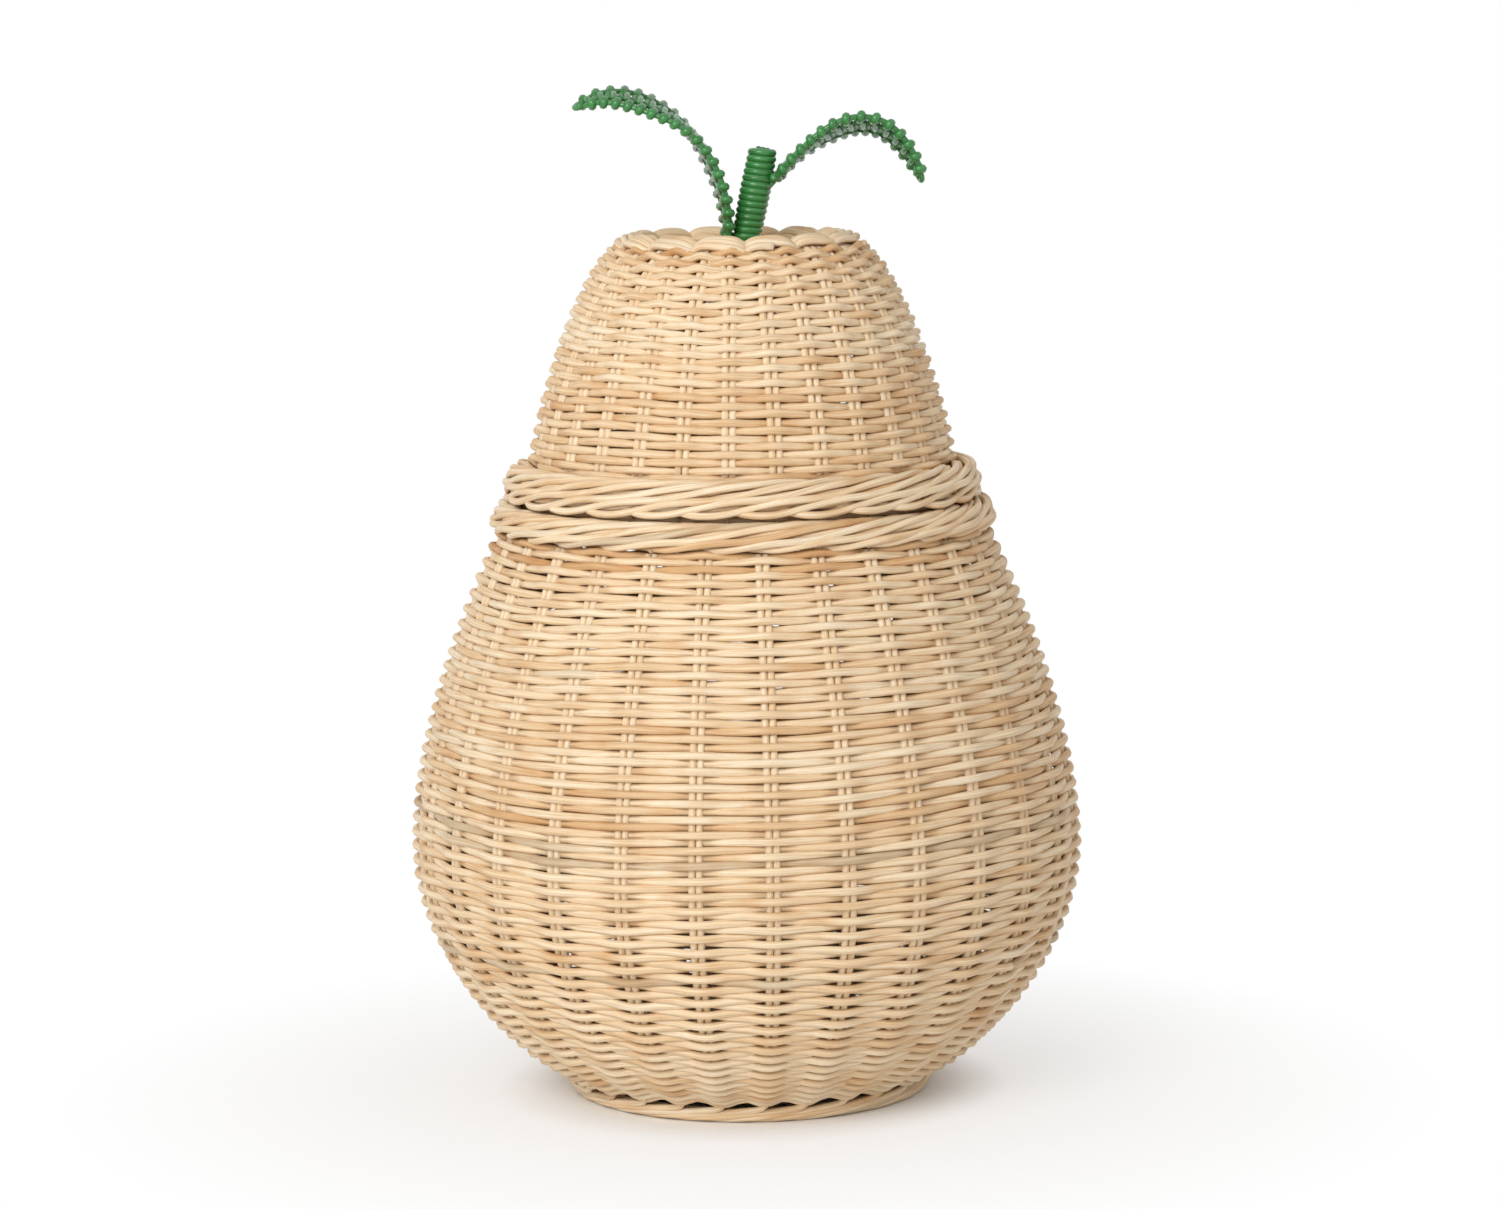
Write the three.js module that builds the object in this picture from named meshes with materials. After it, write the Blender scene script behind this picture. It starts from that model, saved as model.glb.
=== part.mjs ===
// Lidded wicker basket in the shape of a fruit, with a wound stem and two woven leaves.
// Millimetres, +Z up. The origin is on the floor, under the middle of the foot, and -Y is the front.
import * as THREE from "three";

// Canes
const CANE = 2.8;
const GREEN_CANE = 2.2;
const CLEARANCE = 0.3;
const STAKES_PER_QUARTER = 7;
const CROSS_GAP = 0.6;
const CROSS_RAMP = 4.4;
const ROW_PITCH = 2.85;
// An odd number of rows for each ring of facets keeps over and under in step with the real weave.
const ROWS_PER_FACET = 5;
// How much deeper the outer face lies where a row is behind a stake pair, and halfway between two pairs
const ROW_RELIEF = 0.8;
const HOLLOW_RELIEF = 1.6;
const STAKE_STEP = 30;

// Foot and base
const BASE_RADIUS = 70;
const BASE_DOME = 3;
const FOOT_INSET = 4;
const FOOT_WIDTH = 9;
const FOOT_HEIGHT = 5;
const TURN_GAP = 1.6;

// Body
const UPSETT_LENGTH = 30;
const UPSETT_RELIEF = 1.3;
const LOWER_FLARE = new THREE.Vector2(21.7, 8.7);
const BELLY_RADIUS = 130.4;
const BELLY_HEIGHT = 98;
const BELLY_FULLNESS_BELOW = 46.3;
const BELLY_FULLNESS_ABOVE = 43.6;
const RIM_RADIUS = 95.7;
const RIM_HEIGHT = 220.1;
const SHOULDER_SLOPE = new THREE.Vector2(12.3, -25.7);

// Plaited borders of the two rims
const BODY_BORDER_RADIUS = 90.5;
const BODY_BORDER_WIDTH = 13;
const BODY_BORDER_HEIGHT = 10.4;
const LID_BORDER_RADIUS = 85;
const LID_BORDER_WIDTH = 12;
const LID_BORDER_HEIGHT = 14;
const BORDER_RELIEF = 1.1;
const BORDER_FLARE = 2;

// Lid
const LID_RADIUS = 83.3;
const LID_HEIGHT = 87.5;
const LID_SLOPE = new THREE.Vector2(-4.6, 27.7);
const CROWN_RADIUS = 40;
const CROWN_SHOULDER = 19.9;
const CROWN_DISH = 4.5;
const CROWN_LENGTH = 62;
const CROWN_SCALLOP = 1.2;
const COLLAR_HEIGHT = 10;
const COLLAR_THICKNESS = 3;
const LID_PLAY = 1.5;

// Stem
const STEM_OFFSET = 5;
const STEM_LEAN = THREE.MathUtils.degToRad(7.7);
const STEM_HEIGHT = 36;
const STEM_CORE_BOTTOM = 1.6;
const STEM_CORE_TOP = 2.6;
const WINDING_PITCH = 2.75;
const WINDING_STEPS = 16;
const WINDING_SIDES = 5;

// Leaves: the middle line of each from its root, sideways and up, then its width and its bank
const LEFT_LEAF = {
  line: [[0, 0], [-0.8, 12], [-4, 24], [-10, 36], [-18, 45], [-28, 51], [-38, 54.5], [-48, 55], [-56.5, 52]],
  width: 30,
  bank: THREE.MathUtils.degToRad(13),
};
const LEFT_LEAF_ROOT = -4.2;
const RIGHT_LEAF = {
  line: [[0, 0], [8, 8.5], [17, 15.5], [26, 20], [34, 21.5], [42, 19.5], [49, 13.5], [54, 6], [56, 1]],
  width: 28,
  bank: THREE.MathUtils.degToRad(-10),
};
const RIGHT_LEAF_HEIGHT = 23.5;
const LEAF_THICKNESS = 2.4;
const LEAF_ROWS = 18;

// Turn of the two sets of stakes about the upright axis
const BODY_TURN = THREE.MathUtils.degToRad(4.3);
const LID_TURN = THREE.MathUtils.degToRad(-3.5);

const rattan = new THREE.MeshStandardMaterial({ color: 0xe6c99a, roughness: 0.55, metalness: 0 });
const paleRattan = new THREE.MeshStandardMaterial({ color: 0xf0dab4, roughness: 0.55, metalness: 0 });
const greenCane = new THREE.MeshStandardMaterial({ color: 0x2b7d3f, roughness: 0.4, metalness: 0 });

// What follows from those sizes
const STAKE_PAIRS = 4 * STAKES_PER_QUARTER;
const STAKE_ANGLE = (2 * Math.PI) / STAKE_PAIRS;
const STAKE_DEPTH = 1.5 * CANE;
// The flat chord between two stakes dips towards the canes, so the skin stays that much thinner.
const SKIN = CANE - CLEARANCE - CANE * Math.tan(STAKE_ANGLE / 2);
const FACET_STEP = ROW_PITCH * ROWS_PER_FACET;
// The cross of stakes in the middle of the base and of the crown lies flat, out to this radius.
const CROSS_REACH = ((STAKES_PER_QUARTER - 1) / 2) * (2 * CANE + CROSS_GAP);
const CROSS_CLEAR = CROSS_REACH + CANE + CLEARANCE;
const FLAT_RADIUS = Math.hypot(CROSS_REACH, CROSS_CLEAR) + CROSS_RAMP;
const LID_BOTTOM = RIM_HEIGHT + CLEARANCE + BODY_BORDER_HEIGHT + CLEARANCE;
const LID_WEAVE_BOTTOM = LID_BOTTOM + LID_BORDER_HEIGHT + CLEARANCE;
const CROWN_TOP = LID_WEAVE_BOTTOM + LID_HEIGHT;

// A closed body through a row of rings of points. A ring of one point is a pole. The ends are capped,
// or the last ring is joined to the first one.
function bodyThrough(rings, joined) {
  const points = rings.flat();
  let next = 0;
  const numbered = rings.map((ring) => ring.map(() => next++));
  const triangles = [];
  for (let i = 0; i + 1 < numbered.length; i++) bridge(triangles, numbered[i], numbered[i + 1]);
  if (joined) {
    bridge(triangles, numbered.at(-1), numbered[0]);
  } else {
    cap(triangles, [...numbered[0]].reverse());
    cap(triangles, numbered.at(-1));
  }
  const volume = triangles.reduce(
    (sum, [a, b, c]) => sum + points[a].dot(points[b].clone().cross(points[c])),
    0,
  );
  if (volume < 0) triangles.forEach((triangle) => triangle.reverse());
  const geometry = new THREE.BufferGeometry().setFromPoints(points);
  geometry.setIndex(triangles.flat());
  geometry.computeVertexNormals();
  return geometry;
}

// Triangles between two rings that may differ in their number of points.
function bridge(triangles, a, b) {
  const stepsA = a.length > 1 ? a.length : 0;
  const stepsB = b.length > 1 ? b.length : 0;
  let i = 0;
  let j = 0;
  while (i < stepsA || j < stepsB) {
    const fromA = a[i % a.length];
    const fromB = b[j % b.length];
    const goesAlongA = j >= stepsB || (i < stepsA && (i + 1) / stepsA <= (j + 1) / stepsB);
    if (goesAlongA) {
      i++;
      triangles.push([fromA, a[i % a.length], fromB]);
    } else {
      j++;
      triangles.push([fromA, b[j % b.length], fromB]);
    }
  }
}

function cap(triangles, ring) {
  for (let i = 1; i + 1 < ring.length; i++) triangles.push([ring[0], ring[i], ring[i + 1]]);
}

function spread(from, to, count) {
  return Array.from({ length: count + 1 }, (_, i) => from + ((to - from) * i) / count);
}

// A point at an angle from the front, seen from above.
function polar(radius, angle, height) {
  return new THREE.Vector3(radius * Math.sin(angle), -radius * Math.cos(angle), height);
}

// The outer surface of the body's weave, from the middle of the base to the rim
function bodyOutline() {
  const baseHeight = FOOT_HEIGHT + CLEARANCE;
  const path = new THREE.Path();
  path.moveTo(0, baseHeight + BASE_DOME);
  path.lineTo(FLAT_RADIUS, baseHeight + BASE_DOME);
  path.quadraticCurveTo((FLAT_RADIUS + BASE_RADIUS) / 2, baseHeight + BASE_DOME, BASE_RADIUS, baseHeight);
  path.bezierCurveTo(
    BASE_RADIUS + LOWER_FLARE.x,
    baseHeight + LOWER_FLARE.y,
    BELLY_RADIUS,
    BELLY_HEIGHT - BELLY_FULLNESS_BELOW,
    BELLY_RADIUS,
    BELLY_HEIGHT,
  );
  path.bezierCurveTo(
    BELLY_RADIUS,
    BELLY_HEIGHT + BELLY_FULLNESS_ABOVE,
    RIM_RADIUS + SHOULDER_SLOPE.x,
    RIM_HEIGHT + SHOULDER_SLOPE.y,
    RIM_RADIUS,
    RIM_HEIGHT,
  );
  return { path, length: path.getLength(), hollow: 1, rim: RIM_HEIGHT };
}

// The outer surface of the lid's weave, from the dish in the middle of the crown to the rim
function lidOutline() {
  const path = new THREE.Path();
  const brim = (FLAT_RADIUS + CROWN_RADIUS) / 2;
  path.moveTo(0, CROWN_TOP - CROWN_DISH);
  path.lineTo(FLAT_RADIUS, CROWN_TOP - CROWN_DISH);
  path.bezierCurveTo(brim, CROWN_TOP - CROWN_DISH, brim, CROWN_TOP, CROWN_RADIUS, CROWN_TOP);
  path.bezierCurveTo(
    CROWN_RADIUS + CROWN_SHOULDER,
    CROWN_TOP,
    LID_RADIUS + LID_SLOPE.x,
    LID_WEAVE_BOTTOM + LID_SLOPE.y,
    LID_RADIUS,
    LID_WEAVE_BOTTOM,
  );
  return { path, length: path.getLength(), hollow: -1, rim: LID_WEAVE_BOTTOM };
}

// The place at a distance along an outline and at a depth below it, cut off level at the rim.
function under(outline, distance, depth) {
  const share = THREE.MathUtils.clamp(distance / outline.length, 0, 1);
  const point = outline.path.getPointAt(share);
  const along = outline.path.getTangentAt(share);
  const inward = new THREE.Vector2(-along.y, along.x).multiplyScalar(outline.hollow);
  const height = point.y + inward.y * depth;
  const cutOff = outline.hollow > 0 ? Math.min(height, outline.rim) : Math.max(height, outline.rim);
  return { radius: Math.max(point.x + inward.x * depth, 0), height: cutOff, inward, along };
}

// A woven skin along an outline, from the first to the last of its rows. Its outer face has a relief, and
// its inner face has a ring of corners at each station, where the stakes that lie on it bend too. The end
// rings have one corner for each stake pair, so that the ends of two skins meet edge to edge.
function wovenSkin(outline, { rows, bends, columns, relief }) {
  const skinRing = (distance, count, depthAt) => {
    if (distance === 0) return [polar(0, 0, under(outline, 0, depthAt(0)).height)];
    return Array.from({ length: count }, (_, column) => {
      const { radius, height } = under(outline, distance, depthAt(column));
      return polar(radius, (column * 2 * Math.PI) / count, height);
    });
  };
  const outer = rows.map((distance, row) => {
    const count = row === 0 || row === rows.length - 1 ? STAKE_PAIRS : columns;
    return skinRing(distance, count, (column) => relief(row, (column * columns) / count, distance));
  });
  const inner = bends.map((distance) => skinRing(distance, STAKE_PAIRS, () => SKIN));
  return bodyThrough([...outer, ...inner.reverse()], rows[0] > 0);
}

// Evenly spaced distances, about a step apart
function stations(from, to, step) {
  return spread(from, to, Math.max(Math.round((to - from) / step), 1));
}

// A plaited border: a ring whose rounded section has ridges that wind round it, one for each stake pair.
// Its outer face can flare out downwards, in line with the wall.
function plaitedRing({ radius, width, bottom, height, wrap, samples, flatUnder = false, flare = 0 }) {
  const section = [[-0.55, -1], [0.55, -1], [1, 0], [0.55, 1], [-0.55, 1], [-1, 0]];
  const rings = [];
  for (let i = 0; i < STAKE_PAIRS * samples; i++) {
    const angle = (i * 2 * Math.PI) / (STAKE_PAIRS * samples);
    rings.push(
      section.map(([out, up], corner) => {
        const ridge = Math.cos(2 * Math.PI * (i / samples - (wrap * corner) / section.length));
        const sunk = flatUnder && up === -1 ? 0 : (BORDER_RELIEF * (1 - ridge)) / 2;
        const halfWidth = width / 2 - sunk;
        const halfHeight = height / 2 - sunk;
        const flared = out > 0 ? -up * flare : 0;
        return polar(radius + out * halfWidth + flared, angle, bottom + height / 2 + up * halfHeight);
      }),
    );
  }
  return bodyThrough(rings, true);
}

// A stake pair: two canes side by side, from rim to rim across the middle. Where the two sets cross, the
// pairs of one set lie a cane deeper, and past the cross all of them fan out to even angles.
function stakePair(outline, index, dips, bends) {
  const place = index - (STAKES_PER_QUARTER - 1) / 2;
  const offset = place * (2 * CANE + CROSS_GAP);
  const angle = place * STAKE_ANGLE;
  const cross = under(outline, 0, STAKE_DEPTH + (dips ? CANE + CLEARANCE : 0));
  const crossStation = (reach, turn) => ({
    position: new THREE.Vector3(offset, -reach, cross.height),
    side: polar(1, Math.PI / 2 + turn, 0),
    inward: new THREE.Vector3(0, 0, outline.hollow),
  });
  const half = [crossStation(0, 0), crossStation(CROSS_CLEAR, angle / 2)];
  for (const distance of bends) {
    const { radius, height, inward } = under(outline, distance, STAKE_DEPTH);
    half.push({
      position: polar(radius, angle, height),
      side: polar(1, Math.PI / 2 + angle, 0),
      inward: polar(inward.x, angle, inward.y),
    });
  }
  half.push(stakeEnd(outline, angle));
  const mirrored = half.slice(1).map(({ position, side, inward }) => ({
    position: new THREE.Vector3(position.x, -position.y, position.z),
    side: new THREE.Vector3(side.x, -side.y, side.z),
    inward: new THREE.Vector3(inward.x, -inward.y, inward.z),
  }));
  const section = [[1, 0], [0.5, 1], [-0.5, 1], [-1, 0], [-0.5, -1], [0.5, -1]];
  const rings = [...mirrored.reverse(), ...half].map(({ position, side, inward }) =>
    section.map(([across, through]) =>
      position
        .clone()
        .addScaledVector(side, across * CANE)
        .addScaledVector(inward, (through * CANE) / 2),
    ),
  );
  return bodyThrough(rings, false);
}

// A stake ends level with the rim of its weave, against the border.
function stakeEnd(outline, angle) {
  const { radius, height, inward, along } = under(outline, outline.length, STAKE_DEPTH);
  const missing = outline.rim - height;
  return {
    position: polar(radius + (missing * along.x) / along.y, angle, outline.rim),
    side: polar(1, Math.PI / 2 + angle, 0),
    inward: polar(Math.sign(inward.x), angle, 0),
  };
}

// A round cane along a row of places, each with a direction across it that keeps the section from twisting.
function caneAlong(places, diameter, sides) {
  const rings = places.map(({ position, across }, i) => {
    const before = places[Math.max(i - 1, 0)].position;
    const after = places[Math.min(i + 1, places.length - 1)].position;
    const along = after.clone().sub(before).normalize();
    const first = across.clone().addScaledVector(along, -across.dot(along)).normalize();
    const second = along.clone().cross(first);
    return Array.from({ length: sides }, (_, k) => {
      const turn = (2 * Math.PI * k) / sides;
      return position
        .clone()
        .addScaledVector(first, (Math.cos(turn) * diameter) / 2)
        .addScaledVector(second, (Math.sin(turn) * diameter) / 2);
    });
  });
  return bodyThrough(rings, false);
}

// The cane wound round the stem: up from the crown, round and round, and off at a tangent. The stem
// widens upwards, and so do the turns.
function windingPlaces() {
  const firstTurn = GREEN_CANE * 1.5;
  const turns = (STEM_HEIGHT - firstTurn - GREEN_CANE) / WINDING_PITCH;
  const radiusAt = (height) =>
    THREE.MathUtils.mapLinear(height, 0, STEM_HEIGHT, STEM_CORE_BOTTOM, STEM_CORE_TOP) + CLEARANCE + GREEN_CANE / 2;
  const places = [0, GREEN_CANE].map((height) => ({
    position: polar(radiusAt(height), 0, height),
    across: polar(1, 0, 0),
  }));
  const steps = Math.round(turns * WINDING_STEPS);
  for (let i = 1; i <= steps; i++) {
    const angle = (i * 2 * Math.PI) / WINDING_STEPS;
    const height = firstTurn + (i * WINDING_PITCH) / WINDING_STEPS;
    places.push({ position: polar(radiusAt(height), angle, height), across: polar(1, angle, 0) });
  }
  const last = places.at(-1);
  const off = last.position.clone().sub(places.at(-2).position).setLength(GREEN_CANE);
  places.push({ position: last.position.clone().add(off), across: last.across });
  return places;
}

// The least gap between turns of the winding, measured between points that are half a turn or more apart.
function leastGap(places) {
  let least = Infinity;
  for (let i = 0; i < places.length; i++) {
    for (let j = i + WINDING_STEPS / 2; j < places.length; j++) {
      least = Math.min(least, places[i].position.distanceTo(places[j].position));
    }
  }
  return least - GREEN_CANE;
}

// A leaf: one green cane bent round at the tip for its edge, and a woven web inside that edge.
function leafShapes({ line, width, bank }) {
  const middle = new THREE.CatmullRomCurve3(line.map(([x, z]) => new THREE.Vector3(x, 0, z)));
  const root = GREEN_CANE / 2 + CLEARANCE;
  const frameAt = (share) => {
    const along = middle.getTangentAt(share);
    const up = new THREE.Vector3(0, -1, 0).cross(along).normalize();
    if (up.z < 0 || (up.z < 0.5 && up.x * line.at(-1)[0] < 0)) up.negate();
    const lean = bank * Math.sin(Math.PI * share);
    const near = new THREE.Vector3(0, -Math.cos(lean), 0).addScaledVector(up, -Math.sin(lean));
    const face = near.clone().cross(along).normalize();
    const reach = root + (width / 2 - root) * Math.sin(Math.PI * share ** 0.85);
    return { centre: middle.getPointAt(share), near, face, reach };
  };
  const shares = spread(0, 0.95, 13);
  const edge = (sign) =>
    shares.map((share) => {
      const { centre, near, face, reach } = frameAt(share);
      return { position: centre.clone().addScaledVector(near, sign * reach), across: face };
    });
  const tip = frameAt(1);
  const edgePlaces = [...edge(1), { position: tip.centre, across: tip.face }, ...edge(-1).reverse()];
  const webRings = spread(0.09, 0.9, LEAF_ROWS).map((share, row) => {
    const { centre, near, face, reach } = frameAt(share);
    const half = reach - GREEN_CANE / 2 - CLEARANCE;
    const corner = (out, up) =>
      centre
        .clone()
        .addScaledVector(near, out * half)
        .addScaledVector(face, (up * LEAF_THICKNESS) / 2);
    const lift = row % 2 ? 0.5 : 1;
    const drop = row % 2 ? 1 : 0.5;
    return [corner(1, 0), corner(0.5, lift), corner(-0.5, lift), corner(-1, 0), corner(-0.5, -drop), corner(0.5, -drop)];
  });
  return { edge: caneAlong(edgePlaces, GREEN_CANE, 6), web: bodyThrough(webRings, false) };
}

function namedMesh(name, geometry, material) {
  const mesh = new THREE.Mesh(geometry, material);
  mesh.name = name;
  return mesh;
}

function addStakes(group, name, outline, bends) {
  for (let i = 0; i < 2 * STAKES_PER_QUARTER; i++) {
    const crosses = i >= STAKES_PER_QUARTER;
    const geometry = stakePair(outline, i % STAKES_PER_QUARTER, crosses, bends);
    if (crosses) geometry.rotateZ(Math.PI / 2);
    group.add(namedMesh(`${name}_${String(i + 1).padStart(2, "0")}`, geometry, paleRattan));
  }
}

const overAndUnder = (row, pair) => ((row + pair) % 2) * ROW_RELIEF;
// The same for a skin with two columns to a stake pair, which has a hollow between each two pairs
const withHollows = (row, column) => (column % 2 ? HOLLOW_RELIEF : overAndUnder(row, column / 2));

function makeBody() {
  const body = new THREE.Group();
  const outline = bodyOutline();
  const baseLength = outline.path.curves[0].getLength() + outline.path.curves[1].getLength();
  const upsettStart = baseLength + TURN_GAP / 2;
  const upsettEnd = upsettStart + UPSETT_LENGTH;
  const weaveStart = upsettEnd + CLEARANCE;
  const baseBends = [0, ...stations(FLAT_RADIUS, baseLength - TURN_GAP / 2, STAKE_STEP)];
  const upsettBends = stations(upsettStart, upsettEnd, STAKE_STEP / 2);
  const wallBends = stations(weaveStart, outline.length, STAKE_STEP);

  body.add(
    namedMesh(
      "foot_border",
      plaitedRing({
        radius: BASE_RADIUS - FOOT_INSET,
        width: FOOT_WIDTH,
        bottom: 0,
        height: FOOT_HEIGHT,
        wrap: 2,
        samples: 2,
        flatUnder: true,
      }),
      rattan,
    ),
    namedMesh(
      "base_weave",
      wovenSkin(outline, {
        rows: [0, ...stations(FLAT_RADIUS, baseLength - TURN_GAP / 2, FACET_STEP)],
        bends: baseBends,
        columns: STAKE_PAIRS,
        relief: (row, column) => (row > 0 ? overAndUnder(row, column) : 0),
      }),
      rattan,
    ),
    namedMesh(
      "body_upsett",
      wovenSkin(outline, {
        rows: stations(upsettStart, upsettEnd, FACET_STEP / 2),
        bends: upsettBends,
        columns: 2 * STAKE_PAIRS,
        relief: (row, column) => (column % 2) * UPSETT_RELIEF,
      }),
      rattan,
    ),
    namedMesh(
      "body_weave",
      wovenSkin(outline, {
        rows: stations(weaveStart, outline.length, FACET_STEP),
        bends: wallBends,
        columns: 2 * STAKE_PAIRS,
        relief: withHollows,
      }),
      rattan,
    ),
    namedMesh(
      "body_border",
      plaitedRing({
        radius: BODY_BORDER_RADIUS,
        width: BODY_BORDER_WIDTH,
        bottom: RIM_HEIGHT + CLEARANCE,
        height: BODY_BORDER_HEIGHT,
        wrap: 2,
        samples: 3,
        flare: BORDER_FLARE,
      }),
      rattan,
    ),
  );
  addStakes(body, "body_stake_pair", outline, [...baseBends.slice(1), ...upsettBends, ...wallBends.slice(1, -1)]);
  body.rotation.z = BODY_TURN;
  return body;
}

// The hoop under the lid that drops into the mouth and keeps the lid in place
function collar() {
  const outer = BODY_BORDER_RADIUS - BODY_BORDER_WIDTH / 2 - LID_PLAY;
  const inner = outer - COLLAR_THICKNESS;
  const top = LID_BOTTOM - CLEARANCE;
  const bottom = top - COLLAR_HEIGHT;
  const profile = [
    [inner, bottom],
    [outer, bottom],
    [outer, top],
    [inner, top],
    [inner, bottom],
  ].map(([radius, height]) => new THREE.Vector2(radius, height));
  return new THREE.LatheGeometry(profile, STAKE_PAIRS).rotateX(Math.PI / 2);
}

function makeLid() {
  const lid = new THREE.Group();
  const outline = lidOutline();
  const brimLength = outline.path.curves[0].getLength() + outline.path.curves[1].getLength();
  const weaveStart = CROWN_LENGTH + CLEARANCE;
  const crownBends = [0, FLAT_RADIUS, ...stations(brimLength, CROWN_LENGTH, STAKE_STEP / 2)];
  const wallBends = stations(weaveStart, outline.length, STAKE_STEP);
  const crownRows = [0, FLAT_RADIUS, ...stations(brimLength, CROWN_LENGTH, FACET_STEP / 2)];

  lid.add(
    namedMesh(
      "crown_weave",
      wovenSkin(outline, {
        rows: crownRows,
        bends: crownBends,
        columns: STAKE_PAIRS,
        relief: (row, column) => (row > 1 && row < crownRows.length - 1 ? (column % 2) * CROWN_SCALLOP : 0),
      }),
      rattan,
    ),
    namedMesh(
      "lid_weave",
      wovenSkin(outline, {
        rows: stations(weaveStart, outline.length, FACET_STEP),
        bends: wallBends,
        columns: 2 * STAKE_PAIRS,
        relief: withHollows,
      }),
      rattan,
    ),
    namedMesh(
      "lid_border",
      plaitedRing({
        radius: LID_BORDER_RADIUS,
        width: LID_BORDER_WIDTH,
        bottom: LID_BOTTOM,
        height: LID_BORDER_HEIGHT,
        wrap: 2,
        samples: 3,
        flare: BORDER_FLARE,
      }),
      rattan,
    ),
    namedMesh("lid_collar", collar(), rattan),
  );
  addStakes(lid, "lid_stake_pair", outline, [...crownBends.slice(1), ...wallBends.slice(1, -1)]);
  lid.rotation.z = LID_TURN;
  return lid;
}

// The stem leans to the right from its seat in the dish of the crown, and the leaves spring from beside it.
function makeStemAndLeaves() {
  const group = new THREE.Group();
  const outline = lidOutline();
  const foot = STEM_CORE_BOTTOM + CLEARANCE + GREEN_CANE;
  const crownAt = (radius) => under(outline, radius, 0).height;
  const stem = new THREE.Group();
  stem.position.set(STEM_OFFSET, 0, crownAt(STEM_OFFSET + foot) + CLEARANCE + foot * Math.sin(STEM_LEAN));
  stem.rotation.y = STEM_LEAN;

  const core = new THREE.CylinderGeometry(STEM_CORE_TOP, STEM_CORE_BOTTOM, STEM_HEIGHT, 12).rotateX(Math.PI / 2);
  core.translate(0, 0, STEM_HEIGHT / 2);
  const places = windingPlaces();
  console.log(`least gap between turns of the stem winding: ${leastGap(places).toFixed(2)} mm`);
  stem.add(namedMesh("stem_core", core, greenCane));
  stem.add(namedMesh("stem_winding", caneAlong(places, GREEN_CANE, WINDING_SIDES), greenCane));
  group.add(stem);

  const left = leafShapes(LEFT_LEAF);
  const leftLeaf = new THREE.Group();
  // The two ends of a leaf's edge spread a little, so each lowers one side of its end face by this much.
  const splay = GREEN_CANE / 4;
  leftLeaf.position.set(LEFT_LEAF_ROOT, 0, crownAt(Math.abs(LEFT_LEAF_ROOT) + GREEN_CANE) + CLEARANCE + splay);
  leftLeaf.add(namedMesh("left_leaf_edge", left.edge, greenCane), namedMesh("left_leaf_weave", left.web, greenCane));
  group.add(leftLeaf);

  const share = RIGHT_LEAF_HEIGHT / STEM_HEIGHT;
  const stemRadius = THREE.MathUtils.lerp(STEM_CORE_BOTTOM, STEM_CORE_TOP, share) + CLEARANCE + GREEN_CANE;
  const right = leafShapes(RIGHT_LEAF);
  const rightLeaf = new THREE.Group();
  rightLeaf.position
    .set(stemRadius + CLEARANCE + splay, 0, RIGHT_LEAF_HEIGHT)
    .applyAxisAngle(new THREE.Vector3(0, 1, 0), STEM_LEAN)
    .add(stem.position);
  rightLeaf.add(
    namedMesh("right_leaf_edge", right.edge, greenCane),
    namedMesh("right_leaf_weave", right.web, greenCane),
  );
  group.add(rightLeaf);
  return group;
}

const basket = new THREE.Group();
basket.add(makeBody(), makeLid(), makeStemAndLeaves());

export default basket;
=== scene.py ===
# %% [markdown]
# # A lidded wicker basket, cane by cane
#
# The basket is woven from round rattan cane about 2.8 mm thick: stakes stand in pairs, and single canes
# pass in front of one pair and behind the next. The solid model gives the shape in smooth skins, and this
# lesson puts every cane back, as a tube that follows the same outline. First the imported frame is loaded,
# because every new piece has to lie where the frame's solids are.

# %% Load the frame
import math

import bpy
import numpy as np
from mathutils import Matrix, Vector


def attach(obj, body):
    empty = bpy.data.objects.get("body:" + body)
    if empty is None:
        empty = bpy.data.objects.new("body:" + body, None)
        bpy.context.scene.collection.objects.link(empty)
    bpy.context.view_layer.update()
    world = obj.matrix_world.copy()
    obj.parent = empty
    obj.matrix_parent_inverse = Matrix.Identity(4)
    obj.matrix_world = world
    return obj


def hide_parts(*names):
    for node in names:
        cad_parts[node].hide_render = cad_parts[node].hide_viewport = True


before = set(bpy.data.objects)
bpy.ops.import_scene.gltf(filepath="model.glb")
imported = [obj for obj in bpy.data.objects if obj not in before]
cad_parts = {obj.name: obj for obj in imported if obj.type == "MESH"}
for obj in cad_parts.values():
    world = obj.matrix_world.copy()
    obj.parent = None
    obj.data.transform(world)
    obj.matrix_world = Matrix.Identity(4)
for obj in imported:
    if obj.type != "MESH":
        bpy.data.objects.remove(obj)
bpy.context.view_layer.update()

MM = 0.001

# %% [markdown]
# ## The camera
#
# The photograph was taken from about the height of the lid's top, 1.8 m away, with a long lens and a slight
# roll. The camera could be aimed by a constraint, but a plain matrix says the same and needs nothing else.

# %% The photograph's camera
CAMERA_PLACE = Vector((2.33, -1800, 413)) * MM
LOOKS_DOWN = math.radians(7.105)
ROLL = math.radians(-0.78)
SENSOR_WIDTH = 36
LENS = 112.54

camera_data = bpy.data.cameras.new("photograph_camera")
camera_data.sensor_fit = "HORIZONTAL"
camera_data.sensor_width = SENSOR_WIDTH
camera_data.lens = LENS
camera = bpy.data.objects.new("photograph_camera", camera_data)
bpy.context.scene.collection.objects.link(camera)
tilt = Matrix.Rotation(math.pi / 2 - LOOKS_DOWN, 4, "X") @ Matrix.Rotation(ROLL, 4, "Z")
camera.matrix_world = Matrix.Translation(CAMERA_PLACE) @ tilt
bpy.context.scene.camera = camera
print("camera", round(LENS), "mm lens,", round(-camera.location.y, 2), "m in front")

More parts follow.
